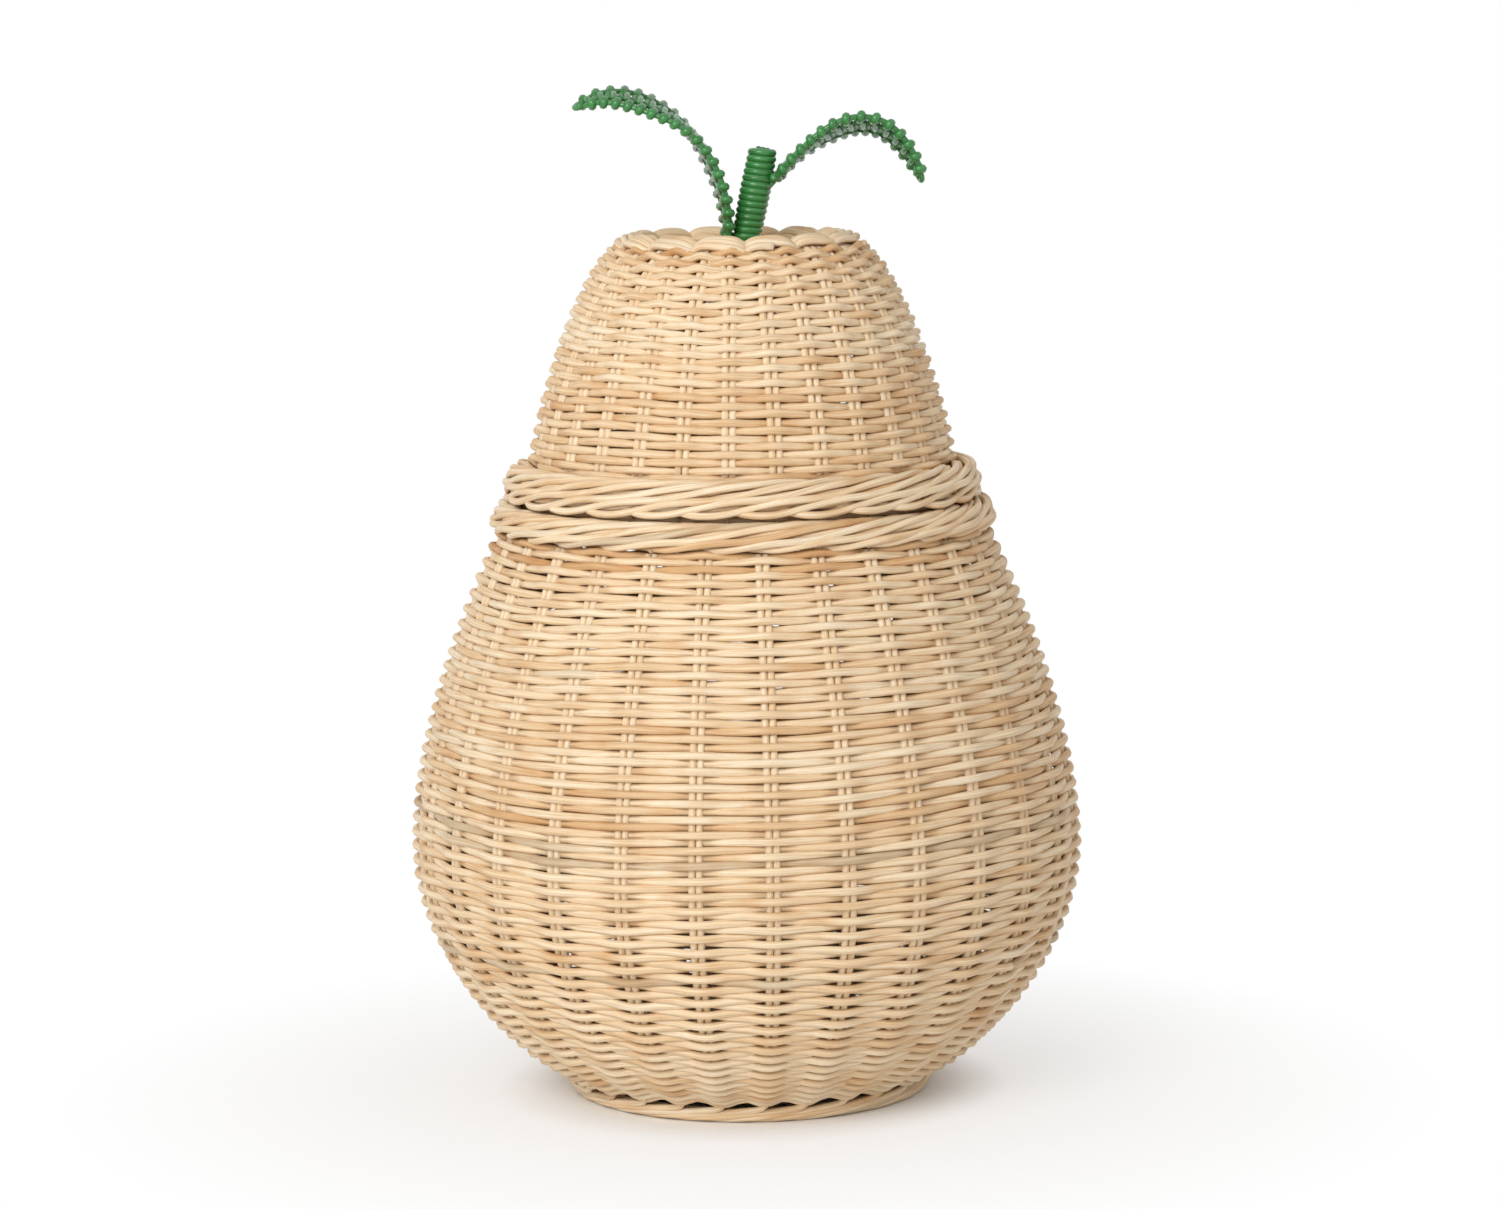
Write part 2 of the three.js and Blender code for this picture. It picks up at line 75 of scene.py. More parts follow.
# %% [markdown]
# ## Colours
#
# A colour that is read off a picture is an sRGB value from 0 to 255, and Blender's sockets want linear light.

# %% From picture colour to linear light
def linear(red, green, blue):
    """Each channel c/255 becomes ((c + 0.055) / 1.055) ^ 2.4, or c / 12.92 below 0.04045."""
    share = np.array([red, green, blue]) / 255
    curve = np.where(share > 0.04045, ((share + 0.055) / 1.055) ** 2.4, share / 12.92)
    return (*curve.tolist(), 1.0)


print("white is", linear(255, 255, 255))

# %% [markdown]
# ## Floor and light
#
# The photograph is a studio picture on white. A white world could light everything evenly, but then the
# gaps of the weave lose their depth. So a dim even world fills, one large soft lamp in front, above and a
# little to the left makes the shadows, and a faint one at the right lights that side. The floor is pale under
# the basket, so that it keeps the shadow, and whitens outwards for the camera.

# %% Helpers: an empty node tree and common nodes
def node_tree(owner):
    """Empties a material's or world's node tree: returns its nodes and a function that links two sockets."""
    owner.use_nodes = True
    owner.node_tree.nodes.clear()
    return owner.node_tree.nodes, owner.node_tree.links.new


def math_node(nodes, link, operation, first, second):
    """A Math node on two sockets."""
    node = nodes.new("ShaderNodeMath")
    node.operation = operation
    link(first, node.inputs[0])
    link(second, node.inputs[1])
    return node.outputs[0]


def map_range(nodes, link, value, ends, results=(0, 1)):
    """A Map Range node: the ends become the results, which hold beyond them."""
    node = nodes.new("ShaderNodeMapRange")
    link(value, node.inputs["Value"])
    for socket, number in zip(("From Min", "From Max", "To Min", "To Max"), (*ends, *results)):
        node.inputs[socket].default_value = number
    return node.outputs["Result"]


def ray_is_seen(nodes, link):
    """1 for a ray that the camera, a mirror or a glass sees: the largest of the three Light Path outputs."""
    path = nodes.new("ShaderNodeLightPath")
    either = math_node(nodes, link, "MAXIMUM", path.outputs["Is Camera Ray"], path.outputs["Is Glossy Ray"])
    return math_node(nodes, link, "MAXIMUM", either, path.outputs["Is Transmission Ray"])


# %% The world: white to the eye, dim as a light
WORLD_FILL = 0.5
FILL_COLOUR = (1, 0.95, 0.88, 1)
WHITE = (1, 1, 1, 1)

world = bpy.data.worlds.new("studio")
bpy.context.scene.world = world
nodes, link = node_tree(world)
fill = nodes.new("ShaderNodeBackground")
fill.inputs["Color"].default_value = FILL_COLOUR
fill.inputs["Strength"].default_value = WORLD_FILL
shown = nodes.new("ShaderNodeBackground")
shown.inputs["Color"].default_value = WHITE
choose = nodes.new("ShaderNodeMixShader")
world_out = nodes.new("ShaderNodeOutputWorld")
link(ray_is_seen(nodes, link), choose.inputs[0])
link(fill.outputs[0], choose.inputs[1])
link(shown.outputs[0], choose.inputs[2])
link(choose.outputs[0], world_out.inputs["Surface"])
print("world fill", WORLD_FILL)

# %% The floor, in metres
FLOOR_HALF = 4.0
FLOOR_COLOUR = (0.95, 0.95, 0.95, 1)
UNDER_REACH = 0.066
SHADOW_REACH = 0.1
FADE_REACH = 0.27
LEAST_WHITE = 0.6

floor_mesh = bpy.data.meshes.new("floor")
corners = [(x * FLOOR_HALF, y * FLOOR_HALF, 0) for x, y in ((-1, -1), (1, -1), (1, 1), (-1, 1))]
floor_mesh.from_pydata(corners, [], [(0, 1, 2, 3)])
floor = bpy.data.objects.new("floor", floor_mesh)
bpy.context.scene.collection.objects.link(floor)

floor_material = bpy.data.materials.new("pale_floor")
nodes, link = node_tree(floor_material)
place = nodes.new("ShaderNodeTexCoord")
length = nodes.new("ShaderNodeVectorMath")
length.operation = "LENGTH"
link(place.outputs["Object"], length.inputs[0])
reach = length.outputs["Value"]
further = map_range(nodes, link, reach, (SHADOW_REACH, FADE_REACH), (LEAST_WHITE, 1))
beside = map_range(nodes, link, reach, (UNDER_REACH, SHADOW_REACH))
shift_amount = math_node(nodes, link, "MULTIPLY", further, beside)
whitened = math_node(nodes, link, "MULTIPLY", shift_amount, ray_is_seen(nodes, link))
matt = nodes.new("ShaderNodeBsdfDiffuse")
matt.inputs["Color"].default_value = FLOOR_COLOUR
glow = nodes.new("ShaderNodeEmission")
blend = nodes.new("ShaderNodeMixShader")
floor_out = nodes.new("ShaderNodeOutputMaterial")
link(whitened, blend.inputs[0])
link(matt.outputs[0], blend.inputs[1])
link(glow.outputs[0], blend.inputs[2])
link(blend.outputs[0], floor_out.inputs["Surface"])
floor_mesh.materials.append(floor_material)
print("floor", 2 * FLOOR_HALF, "m wide")

# %% The lamps
LAMPS_AIM = Vector((0, 0, 0.19))


def soft_lamp(name, place, side, power):
    """A square area lamp of a side in metres, turned so that its -Z looks at the middle of the basket."""
    data = bpy.data.lights.new(name, "AREA")
    data.size = side
    data.energy = power
    lamp = bpy.data.objects.new(name, data)
    lamp.location = place
    lamp.rotation_euler = (LAMPS_AIM - lamp.location).to_track_quat("-Z", "Y").to_euler()
    bpy.context.scene.collection.objects.link(lamp)
    print(name, power, "W")


soft_lamp("key_lamp", (-1.0, -2.15, 1.35), 1.4, 41)
soft_lamp("side_lamp", (2.2, -0.9, 0.9), 1.4, 1)

# %% [markdown]
# ## The outlines
#
# Both halves are solids of revolution at heart, so one line from the middle to the rim, turned about the
# upright axis, describes each. The line is the outer face of the weave. Everything else lies at some depth
# under it: the middle of the stakes at one and a half canes, and the weavers swing out and in from nearly
# the same depth, by three quarters of a cane.

# %% Sizes of the canes and of the two outlines, in mm
CANE = 2.8
STAKES = 28
STAKE_ANGLE = 2 * math.pi / STAKES
STAKE_DEPTH = 1.5 * CANE
BODY_TURN = math.radians(4.3)
LID_TURN = math.radians(-3.5)
FLAT_RADIUS = 32.98
BASE_HEIGHT = 8.3
BASE_EDGE = (70, 5.3)
BELLY_RADIUS = 130.4
BELLY = (BELLY_RADIUS, 98)
BODY_RIM = (95.7, 220.1)
DISH_HEIGHT = 328.4
CROWN_HEIGHT = 332.9
CROWN_TOP = (40, CROWN_HEIGHT)
LID_RIM = (83.3, 245.4)
CURVE_PLACES = 240


def cubic(a, b, c, d):
    """A Bezier curve: (1-t)^3 a + 3t(1-t)^2 b + 3t^2(1-t) c + t^3 d, at even steps of t from 0 to 1."""
    t = np.linspace(0, 1, CURVE_PLACES)[:, None]
    a, b, c, d = (np.array(point, float) for point in (a, b, c, d))
    return (1 - t) ** 3 * a + 3 * t * (1 - t) ** 2 * b + 3 * t**2 * (1 - t) * c + t**3 * d


def flat_length(line):
    """The length run so far at each place of a line in a plane."""
    return np.concatenate([[0], np.cumsum(np.hypot(*np.diff(line, axis=0).T))])


def outline_through(curves, hollow):
    """Joins curves of (radius, height) into one line with its running length and its inward normal, which
    is the line's direction turned by a quarter. hollow is 1 for the body and -1 for the lid, whose inside
    lies under the line."""
    line = np.vstack([curves[0]] + [curve[1:] for curve in curves[1:]])
    length = flat_length(line)
    along = np.gradient(line, length, axis=0)
    along /= np.linalg.norm(along, axis=1, keepdims=True)
    inward = np.stack([-along[:, 1], along[:, 0]], axis=1) * hollow
    return {"line": line, "length": length, "inward": inward, "end": length[-1]}


def flat_middle(height):
    """The flat round in the middle of a half."""
    return cubic((0, height), (11, height), (22, height), (FLAT_RADIUS, height))


# %% The two outlines
flat_base = flat_middle(BASE_HEIGHT)
base_edge = cubic((FLAT_RADIUS, BASE_HEIGHT), (45.3, BASE_HEIGHT), (57.7, 7.3), BASE_EDGE)
lower_wall = cubic(BASE_EDGE, (91.7, 14), (BELLY_RADIUS, 51.7), BELLY)
upper_wall = cubic(BELLY, (BELLY_RADIUS, 141.6), (108.0, 194.4), BODY_RIM)
base_line = outline_through([flat_base, base_edge], 1)
wall_line = outline_through([lower_wall, upper_wall], 1)
body_line = outline_through([flat_base, base_edge, lower_wall, upper_wall], 1)

dish = flat_middle(DISH_HEIGHT)
brim = cubic((FLAT_RADIUS, DISH_HEIGHT), (36.5, DISH_HEIGHT), (36.5, CROWN_HEIGHT), CROWN_TOP)
shoulder = cubic(CROWN_TOP, (59.9, CROWN_HEIGHT), (78.7, 273.1), LID_RIM)
lid_line = outline_through([dish, brim, shoulder], -1)
print("lengths in mm:", [round(o["end"]) for o in (base_line, wall_line, lid_line)])

# %% A point on an outline
def around(radius, angle, height):
    """The point (r sin a, -r cos a, z). The angle counts from the front to the right."""
    return np.stack(np.broadcast_arrays(radius * np.sin(angle), -radius * np.cos(angle), height), axis=-1)


def on_outline(outline, distance, angle, depth):
    """The point round the axis whose r and z are those of the outline at that distance along it, moved
    inwards by the depth, and the outward direction there."""
    radius, height, inward_r, inward_z = (
        np.interp(distance, outline["length"], values)
        for values in (*outline["line"].T, *outline["inward"].T)
    )
    inward = around(inward_r, angle, inward_z)
    return around(radius, angle, height) + inward * np.asarray(depth)[..., None], -inward


# %% [markdown]
# ## One cane as a mesh
#
# A curve object with a bevel would also make a tube, but it can't carry the place along and round the cane
# that the fibres of the material follow. So a cane is a ring of corners carried along its line, for all the
# canes of a piece at once, and each corner keeps where it would be on the straight cane.

# %% Tubes along many lines at once
POLE_BULGE = 0.3
FIBRES_APART = 137.0


def unit(vectors):
    """Each vector divided by its length."""
    return vectors / np.maximum(np.linalg.norm(vectors, axis=-1, keepdims=True), 1e-12)


def travelled(lines):
    """The length run so far at each place of each line."""
    steps = np.diff(lines, axis=-2, prepend=lines[..., :1, :])
    return np.cumsum(np.linalg.norm(steps, axis=-1), axis=-1)


def tubes(lines, outward, width, tone, sides=8):
    """Round canes with lines of shape (canes, points, 3), all in mm. Each ring is
    line + R (cos u N + sin u B), where N is the outward direction made square to the line's direction T,
    and B = T x N. A pole closes each end. Returns corners, four-sided and three-sided faces, the place of
    each corner on the straight cane as (distance along, R cos u, R sin u), and its shade. Two canes lie
    FIBRES_APART in that distance, so that their fibres differ."""
    lines = np.asarray(lines, float)
    count, points, _ = lines.shape
    along = unit(np.gradient(lines, axis=1))
    outward = np.broadcast_to(outward, lines.shape)
    first = unit(outward - along * np.sum(outward * along, axis=-1, keepdims=True))
    second = np.cross(along, first)
    radius = np.broadcast_to(np.asarray(width, float) / 2, (count, points))[..., None, None]
    turn = np.arange(sides) * 2 * math.pi / sides
    across = np.cos(turn)[:, None] * radius
    aside = np.sin(turn)[:, None] * radius
    rings = lines[:, :, None] + across * first[:, :, None] + aside * second[:, :, None]
    bulge = along * radius[..., 0] * POLE_BULGE
    poles = np.stack([lines[:, 0] - bulge[:, 0], lines[:, -1] + bulge[:, -1]], axis=1)
    travel = travelled(lines) + np.arange(count)[:, None] * FIBRES_APART
    lengthwise = np.broadcast_to(travel[..., None, None], across.shape)
    straight = np.concatenate([lengthwise, across, aside], axis=-1)
    tones = np.broadcast_to(tone, (count, points))

    ring = np.arange(count * points * sides).reshape(count, points, sides)
    after = np.roll(ring, -1, axis=2)
    quads = np.stack([ring[:, :-1], after[:, :-1], after[:, 1:], ring[:, 1:]], axis=-1).reshape(-1, 4)
    pole = ring.size + np.arange(count * 2).reshape(count, 2, 1)
    start = np.stack(np.broadcast_arrays(pole[:, 0], after[:, 0], ring[:, 0]), axis=-1)
    end = np.stack(np.broadcast_arrays(pole[:, 1], ring[:, -1], after[:, -1]), axis=-1)
    pole_place = np.stack([travel[:, [0, -1]], np.zeros((count, 2)), np.zeros((count, 2))], axis=-1)
    return (
        np.concatenate([rings.reshape(-1, 3), poles.reshape(-1, 3)]),
        quads,
        np.concatenate([start.reshape(-1, 3), end.reshape(-1, 3)]),
        np.concatenate([straight.reshape(-1, 3), pole_place.reshape(-1, 3)]),
        np.concatenate([np.repeat(tones.ravel(), sides), tones[:, [0, -1]].ravel()]),
    )


# %% One object from several sets of tubes
def piece_of(name, sets, material):
    """Puts the sets one after another in one smooth-shaded mesh, each with its corner numbers raised by the
    corners before it. The places go into the attribute cane_place and the shades into tone."""
    corners, quads, triangles, places, tones = zip(*sets)
    raised = np.cumsum([0] + [len(part) for part in corners[:-1]])
    quads = np.concatenate([part + start for part, start in zip(quads, raised)])
    triangles = np.concatenate([part + start for part, start in zip(triangles, raised)])
    corners, places, tones = (np.concatenate(parts) for parts in (corners, places, tones))
    loops = np.concatenate([quads.ravel(), triangles.ravel()]).astype(np.int32)
    starts = np.concatenate([np.arange(len(quads)) * 4, len(quads) * 4 + np.arange(len(triangles)) * 3])
    mesh = bpy.data.meshes.new(name)
    mesh.vertices.add(len(corners))
    mesh.vertices.foreach_set("co", (corners * MM).astype(np.float32).ravel())
    mesh.loops.add(len(loops))
    mesh.loops.foreach_set("vertex_index", loops)
    mesh.polygons.add(len(starts))
    mesh.polygons.foreach_set("loop_start", starts.astype(np.int32))
    mesh.update(calc_edges=True)
    mesh.shade_smooth()
    place = mesh.attributes.new("cane_place", "FLOAT_VECTOR", "POINT")
    place.data.foreach_set("vector", (places * MM).astype(np.float32).ravel())
    tone = mesh.attributes.new("tone", "FLOAT", "POINT")
    tone.data.foreach_set("value", tones.astype(np.float32))
    mesh.materials.append(material)
    piece = bpy.data.objects.new(name, mesh)
    bpy.context.scene.collection.objects.link(piece)
    print(name, "has", 2 * len(quads) + len(triangles), "triangles")
    return piece


# %% [markdown]
# ## The finish of the canes
#
# Rattan core is pale and satin, with fine fibres along it, and every length has its own shade: most are
# cream, some tan, and a few orange-brown or greyish. An image texture could hold this, but noise on the
# straightened cane does it at any scale. The fibres are a node group, because the green canes have them too.

# %% Group: fibres along a cane
FIBRE_SETTINGS = {"Streaks per metre": 2600, "Stretch": 0.02, "Blotches per metre": 28}


def noise(nodes, link, vector, scale, detail):
    """A noise texture's value at a vector."""
    node = nodes.new("ShaderNodeTexNoise")
    node.inputs["Detail"].default_value = detail
    link(vector, node.inputs["Vector"])
    link(scale, node.inputs["Scale"])
    return node.outputs["Fac"]


def cane_fibres():
    """Noise on cane_place, squeezed along the cane so that it draws long streaks. Streak runs from 0 to 1,
    Blotch is a slow noise along the same cane, and Height is what a bump reads."""
    group = bpy.data.node_groups.new("cane_fibres", "ShaderNodeTree")
    for name, value in FIBRE_SETTINGS.items():
        socket = group.interface.new_socket(name=name, in_out="INPUT", socket_type="NodeSocketFloat")
        socket.default_value = value
    for name in ("Streak", "Blotch", "Height"):
        group.interface.new_socket(name=name, in_out="OUTPUT", socket_type="NodeSocketFloat")
    nodes = group.nodes
    link = group.links.new
    entry = nodes.new("NodeGroupInput")
    leave = nodes.new("NodeGroupOutput")
    place = nodes.new("ShaderNodeAttribute")
    place.attribute_name = "cane_place"
    squeeze = nodes.new("ShaderNodeCombineXYZ")
    squeeze.inputs["Y"].default_value = 1
    squeeze.inputs["Z"].default_value = 1
    link(entry.outputs["Stretch"], squeeze.inputs["X"])
    squeezed = nodes.new("ShaderNodeVectorMath")
    squeezed.operation = "MULTIPLY"
    link(place.outputs["Vector"], squeezed.inputs[0])
    link(squeeze.outputs[0], squeezed.inputs[1])
    streak = noise(nodes, link, squeezed.outputs[0], entry.outputs["Streaks per metre"], 2)
    blotch = noise(nodes, link, place.outputs["Vector"], entry.outputs["Blotches per metre"], 3)
    for name, value in (("Streak", streak), ("Blotch", blotch), ("Height", streak)):
        link(value, leave.inputs[name])
    return group


CANE_FIBRES = cane_fibres()
print("group", CANE_FIBRES.name)

# %% Rattan and green cane
STREAK_ENDS = (0.42, 0.72)
BLOTCH_ENDS = (0.5, 0.78)
ROUGH_ENDS = (0.3, 0.7)
COAT_ROUGHNESS = 0.25


def colour_ramp(nodes, stops):
    """A colour ramp through (place, colour) stops."""
    ramp = nodes.new("ShaderNodeValToRGB")
    elements = ramp.color_ramp.elements
    elements[0].position, elements[0].color = stops[0]
    elements[1].position, elements[1].color = stops[-1]
    for position, colour in stops[1:-1]:
        elements.new(position).color = colour
    return ramp


def darkened(nodes, link, base, share, colour):
    """The base colour, by a share of it multiplied by another colour."""
    mix = nodes.new("ShaderNodeMix")
    mix.data_type = "RGBA"
    mix.blend_type = "MULTIPLY"
    link(share, mix.inputs[0])
    link(base, mix.inputs[6])
    mix.inputs[7].default_value = colour
    return mix.outputs[2]


def cane_material(name, stops, streak_colour, blotch_colour, rough, bump, coat=0.0):
    """The tone attribute picks a shade from the stops, streaks and blotches darken it, and the streaks give
    the roughness its spread and the surface its fine grooves, bump metres deep."""
    material = bpy.data.materials.new(name)
    nodes, link = node_tree(material)
    fibres = nodes.new("ShaderNodeGroup")
    fibres.node_tree = CANE_FIBRES
    streak = fibres.outputs["Streak"]
    tone = nodes.new("ShaderNodeAttribute")
    tone.attribute_name = "tone"
    ramp = colour_ramp(nodes, stops)
    link(tone.outputs["Fac"], ramp.inputs[0])
    streaked = map_range(nodes, link, streak, STREAK_ENDS)
    colour = darkened(nodes, link, ramp.outputs[0], streaked, streak_colour)
    blotched = map_range(nodes, link, fibres.outputs["Blotch"], BLOTCH_ENDS)
    colour = darkened(nodes, link, colour, blotched, blotch_colour)
    shader = nodes.new("ShaderNodeBsdfPrincipled")
    link(colour, shader.inputs["Base Color"])
    link(map_range(nodes, link, streak, ROUGH_ENDS, rough), shader.inputs["Roughness"])
    shader.inputs["Coat Weight"].default_value = coat
    shader.inputs["Coat Roughness"].default_value = COAT_ROUGHNESS
    groove = nodes.new("ShaderNodeBump")
    groove.inputs["Distance"].default_value = bump
    link(fibres.outputs["Height"], groove.inputs["Height"])
    link(groove.outputs[0], shader.inputs["Normal"])
    out = nodes.new("ShaderNodeOutputMaterial")
    link(shader.outputs[0], out.inputs["Surface"])
    return material


RATTAN_STOPS = [
    (0.0, linear(210, 190, 160)), (0.1, linear(245, 230, 204)), (0.4, linear(243, 222, 190)),
    (0.68, linear(234, 206, 168)), (0.86, linear(221, 184, 138)), (1.0, linear(204, 156, 106)),
]
GREEN_STOPS = [
    (0.0, linear(104, 122, 100)), (0.25, linear(62, 138, 70)), (0.6, linear(53, 134, 63)),
    (1.0, linear(38, 110, 52)),
]
rattan = cane_material(
    "rattan_cane", RATTAN_STOPS, linear(230, 211, 184), linear(226, 196, 156),
    rough=(0.42, 0.62), bump=0.00012,
)
stake_rattan = cane_material(
    "rattan_stake_cane", RATTAN_STOPS, linear(240, 227, 206), linear(242, 224, 198),
    rough=(0.45, 0.65), bump=0.0001,
)
green = cane_material(
    "green_cane", GREEN_STOPS, linear(190, 205, 190), linear(200, 214, 198),
    rough=(0.26, 0.42), bump=0.00008, coat=0.3,
)
print("materials:", [m.name for m in (rattan, stake_rattan, green)])

# %% [markdown]
# ## Shades
#
# A weaver bought as a bundle is joined every metre or two, so the shade jumps along a row. Short canes, such
# as those of a border, have one shade each.

# %% Shades for short canes and for long ones
GREY_SHARE = 0.05
GREY_TONE = 0.03
JOINTS_APART = (500, 2200)
MOST_JOINTS = 200


def shades(rng, count):
    """Random shades: mostly low, that is cream, with a thin tail towards brown and a few grey ones."""
    shade = 0.1 + 0.85 * rng.beta(1.7, 2.9, count)
    return np.where(rng.random(count) < GREY_SHARE, GREY_TONE, shade)


def shades_along(rng, travel):
    """A new shade after each joint along the cane, and two slow waves on top."""
    joints = np.cumsum(rng.uniform(*JOINTS_APART, MOST_JOINTS))
    piecewise = shades(rng, MOST_JOINTS + 1)[np.searchsorted(joints, travel)]
    return np.clip(piecewise + 0.07 * np.sin(travel / 85) + 0.04 * np.sin(travel / 31), 0, 1)


def wander(rng, count, knots):
    """A smooth random line from -1 to 1: random heights at even knots, joined by half waves of a cosine."""
    heights = rng.uniform(-1, 1, knots + 2)
    place = np.linspace(0, knots, count)
    step = np.floor(place).astype(int)
    ease = (1 - np.cos(np.pi * (place - step))) / 2
    return heights[step] * (1 - ease) + heights[step + 1] * ease


def stands_for(piece, body, slot, *nodes):
    """The piece moves with a body and stands for solids of the frame, which are hidden. slot is not used."""
    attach(piece, body)
    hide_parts(*nodes)


# %% [markdown]
# ## The stakes
#
# Fourteen pairs of canes run from rim to rim. Seven pairs lie on seven in the middle, and from there they fan
# out to 28 spokes. In the first rounds two neighbouring pairs are held together, and only further out does
# each pair stand alone, so the spokes draw together near the middle. Both canes of a pair are the same line,
# moved sideways by half a cane.

# %% Where a spoke stands
PAIRS_EACH_WAY = STAKES // 4
CROSS_STEP = 2 * CANE + 0.6
CROSS_REACH = 21.7
CROSS_PLACES = 7
LAYER = CANE + 0.3
FAN_START = FLAT_RADIUS + 5
GATHER_END = 46
SPREAD_START = 64
SPOKE_STEP = 4.0
HALF_GATHERED = CANE + 0.15
HALF_PAIR = CANE / 2 + 0.03
TURNING_UP = (30, 60)


def smoothstep(value, low, high):
    """3t^2 - 2t^3 of t, which goes from 0 at low to 1 at high."""
    t = np.clip((value - low) / (high - low), 0, 1)
    return t * t * (3 - 2 * t)


def spoke_angle(index, radius):
    """Even angles far out. Near the middle, spokes 2i+1 and 2i+2 are drawn together until they touch."""
    middle = (np.floor((index - 1) / 2) * 2 + 1.5) * STAKE_ANGLE
    side = np.where((index - 1) % 2 == 0, -1, 1)
    gathered = np.minimum(HALF_GATHERED / np.maximum(radius, 1), STAKE_ANGLE / 2)
    half = gathered + (STAKE_ANGLE / 2 - gathered) * smoothstep(radius, GATHER_END, SPREAD_START)
    return middle + side * half


# %% Spokes as lines
def spoke_lines(outline, hollow, turn):
    """For each of the 14 pairs, half of it from the middle to one rim: straight across the crossing, then on
    the outline at stake depth. Smoothing rounds the corner where the fan starts. The other half is
    its mirror image, and the second seven pairs are the first seven turned by a quarter."""
    places = np.arange(PAIRS_EACH_WAY) - PAIRS_EACH_WAY // 2
    offset = places * CROSS_STEP
    reaches = np.linspace(0, CROSS_REACH, CROSS_PLACES)
    distance = np.arange(FAN_START, outline["end"], SPOKE_STEP)
    radius = np.interp(distance, outline["length"], outline["line"][:, 0])
    halves = []
    for crosses in (False, True):
        depth = STAKE_DEPTH + (LAYER if crosses else 0)
        height = outline["line"][0, 1] + hollow * depth
        across = np.stack(np.broadcast_arrays(offset[:, None], -reaches, height), axis=-1)
        index = places[:, None] + (PAIRS_EACH_WAY if crosses else 0)
        for mirrored in (False, True):
            angle = spoke_angle(index + (STAKES // 2 if mirrored else 0), radius)
            wall, _ = on_outline(outline, distance, angle, STAKE_DEPTH)
            inner = across.copy()
            if mirrored:
                inner[..., 1] *= -1
                inner = inner[::-1]
            if crosses:
                inner = np.stack([-inner[..., 1], inner[..., 0], inner[..., 2]], axis=-1)
            halves.append(np.concatenate([inner, wall], axis=1))
    lines = np.concatenate(halves)
    for _ in range(3):
        lines[:, 1:-1] = (lines[:, :-2] + 2 * lines[:, 1:-1] + lines[:, 2:]) / 4
    cos, sin = math.cos(turn), math.sin(turn)
    x, y, z = np.moveaxis(lines, -1, 0)
    return np.stack([x * cos - y * sin, x * sin + y * cos, z], axis=-1)


def stakes(name, outline, hollow, turn, seed):
    """The 56 half canes of one half of the basket. Aside is square to the line and to the skin's normal."""
    rng = np.random.default_rng(seed)
    lines = spoke_lines(outline, hollow, turn)
    along = unit(np.gradient(lines, axis=1))
    radius = np.hypot(lines[..., 0], lines[..., 1])
    radial = around(1, np.arctan2(lines[..., 0], -lines[..., 1]), 0)
    radial = radial * smoothstep(radius, *TURNING_UP)[..., None]
    upright = unit(np.array([0, 0, -0.5 * hollow]) + radial)
    aside = unit(np.cross(along, upright)) * HALF_PAIR
    both = np.concatenate([lines + aside, lines - aside])
    tone = 0.1 + 0.28 * shades(rng, len(both))[:, None]
    return piece_of(name, [tubes(both, np.concatenate([upright, upright]), CANE, tone)], stake_rattan)


for half, body, outline, hollow, turn, seed in (
    ("body", "basket", body_line, 1, BODY_TURN, 11),
    ("lid", "lid", lid_line, -1, LID_TURN, 12),
):
    pairs = [f"{half}_stake_pair_{number:02d}" for number in range(1, STAKES // 2 + 1)]
    stands_for(stakes(f"{half}_stakes", outline, hollow, turn, seed), body, "rattan_stakes", *pairs)

# %% [markdown]
# ## The weave
#
# Two weavers chase each other round: one passes in front of the even stakes, the other in front of the odd
# ones, and each climbs two rows in a turn. A displaced ring per row would be easier, but a spiral has no seam
# to hide and is how the basket was made. The way in front and behind is a power of a cosine, so that the
# rows part only near a stake, and a slow wave lets them rise and fall as they do in hand-made work. A cane is
# a little wider behind a stake, where it closes the wall, and the wall's first rows are packed closer.

# %% A weaver's line
STEPS_PER_STAKE = 8
ROW_PITCH = 2.85
WEAVER = 3.1
WIDER_BEHIND = 0.13
WEAVE_DEPTH = 3.85
SWING = 2.1
SWAY_EASE = 25
BEATEN = 34
BEATEN_FULLY = 6
TUCKED = 0.8 * STAKE_ANGLE
PACKED_REACH = 22
UNEVEN_ROW = 0.22
UNEVEN_SWING = 0.06


def in_and_out(count):
    """c |c|^1.1 of c = cos(pi count): 1 in front of a stake and -1 behind the next one."""
    wave = np.cos(np.pi * count)
    return wave * np.abs(wave) ** 1.1


def sway(angle, distance, reach):
    """A slow rise and fall of the rows, in mm, that fades out near both ends of the weave."""
    wave = 0.8 * np.sin(2 * angle + distance / 31 + 1.3)
    wave = wave + 0.55 * np.sin(3 * angle - distance / 19 + 0.4) + 0.35 * np.sin(7 * angle + distance / 43)
    eased_in = smoothstep(distance, reach[0], reach[0] + SWAY_EASE)
    return wave * eased_in * (1 - smoothstep(distance, reach[1] - SWAY_EASE, reach[1]))


def left_open(angle, marks):
    """How far the outermost row stays from the rim, in mm: two rows times the share of a turn to the next of
    the marks where the weavers end, eased in just past a mark, where an end is tucked away."""
    ahead = np.min([(mark - angle) % (2 * np.pi) for mark in marks], axis=0)
    past = np.min([(angle - mark) % (2 * np.pi) for mark in marks], axis=0)
    return ROW_PITCH * ahead / np.pi * smoothstep(past, 0, TUCKED)


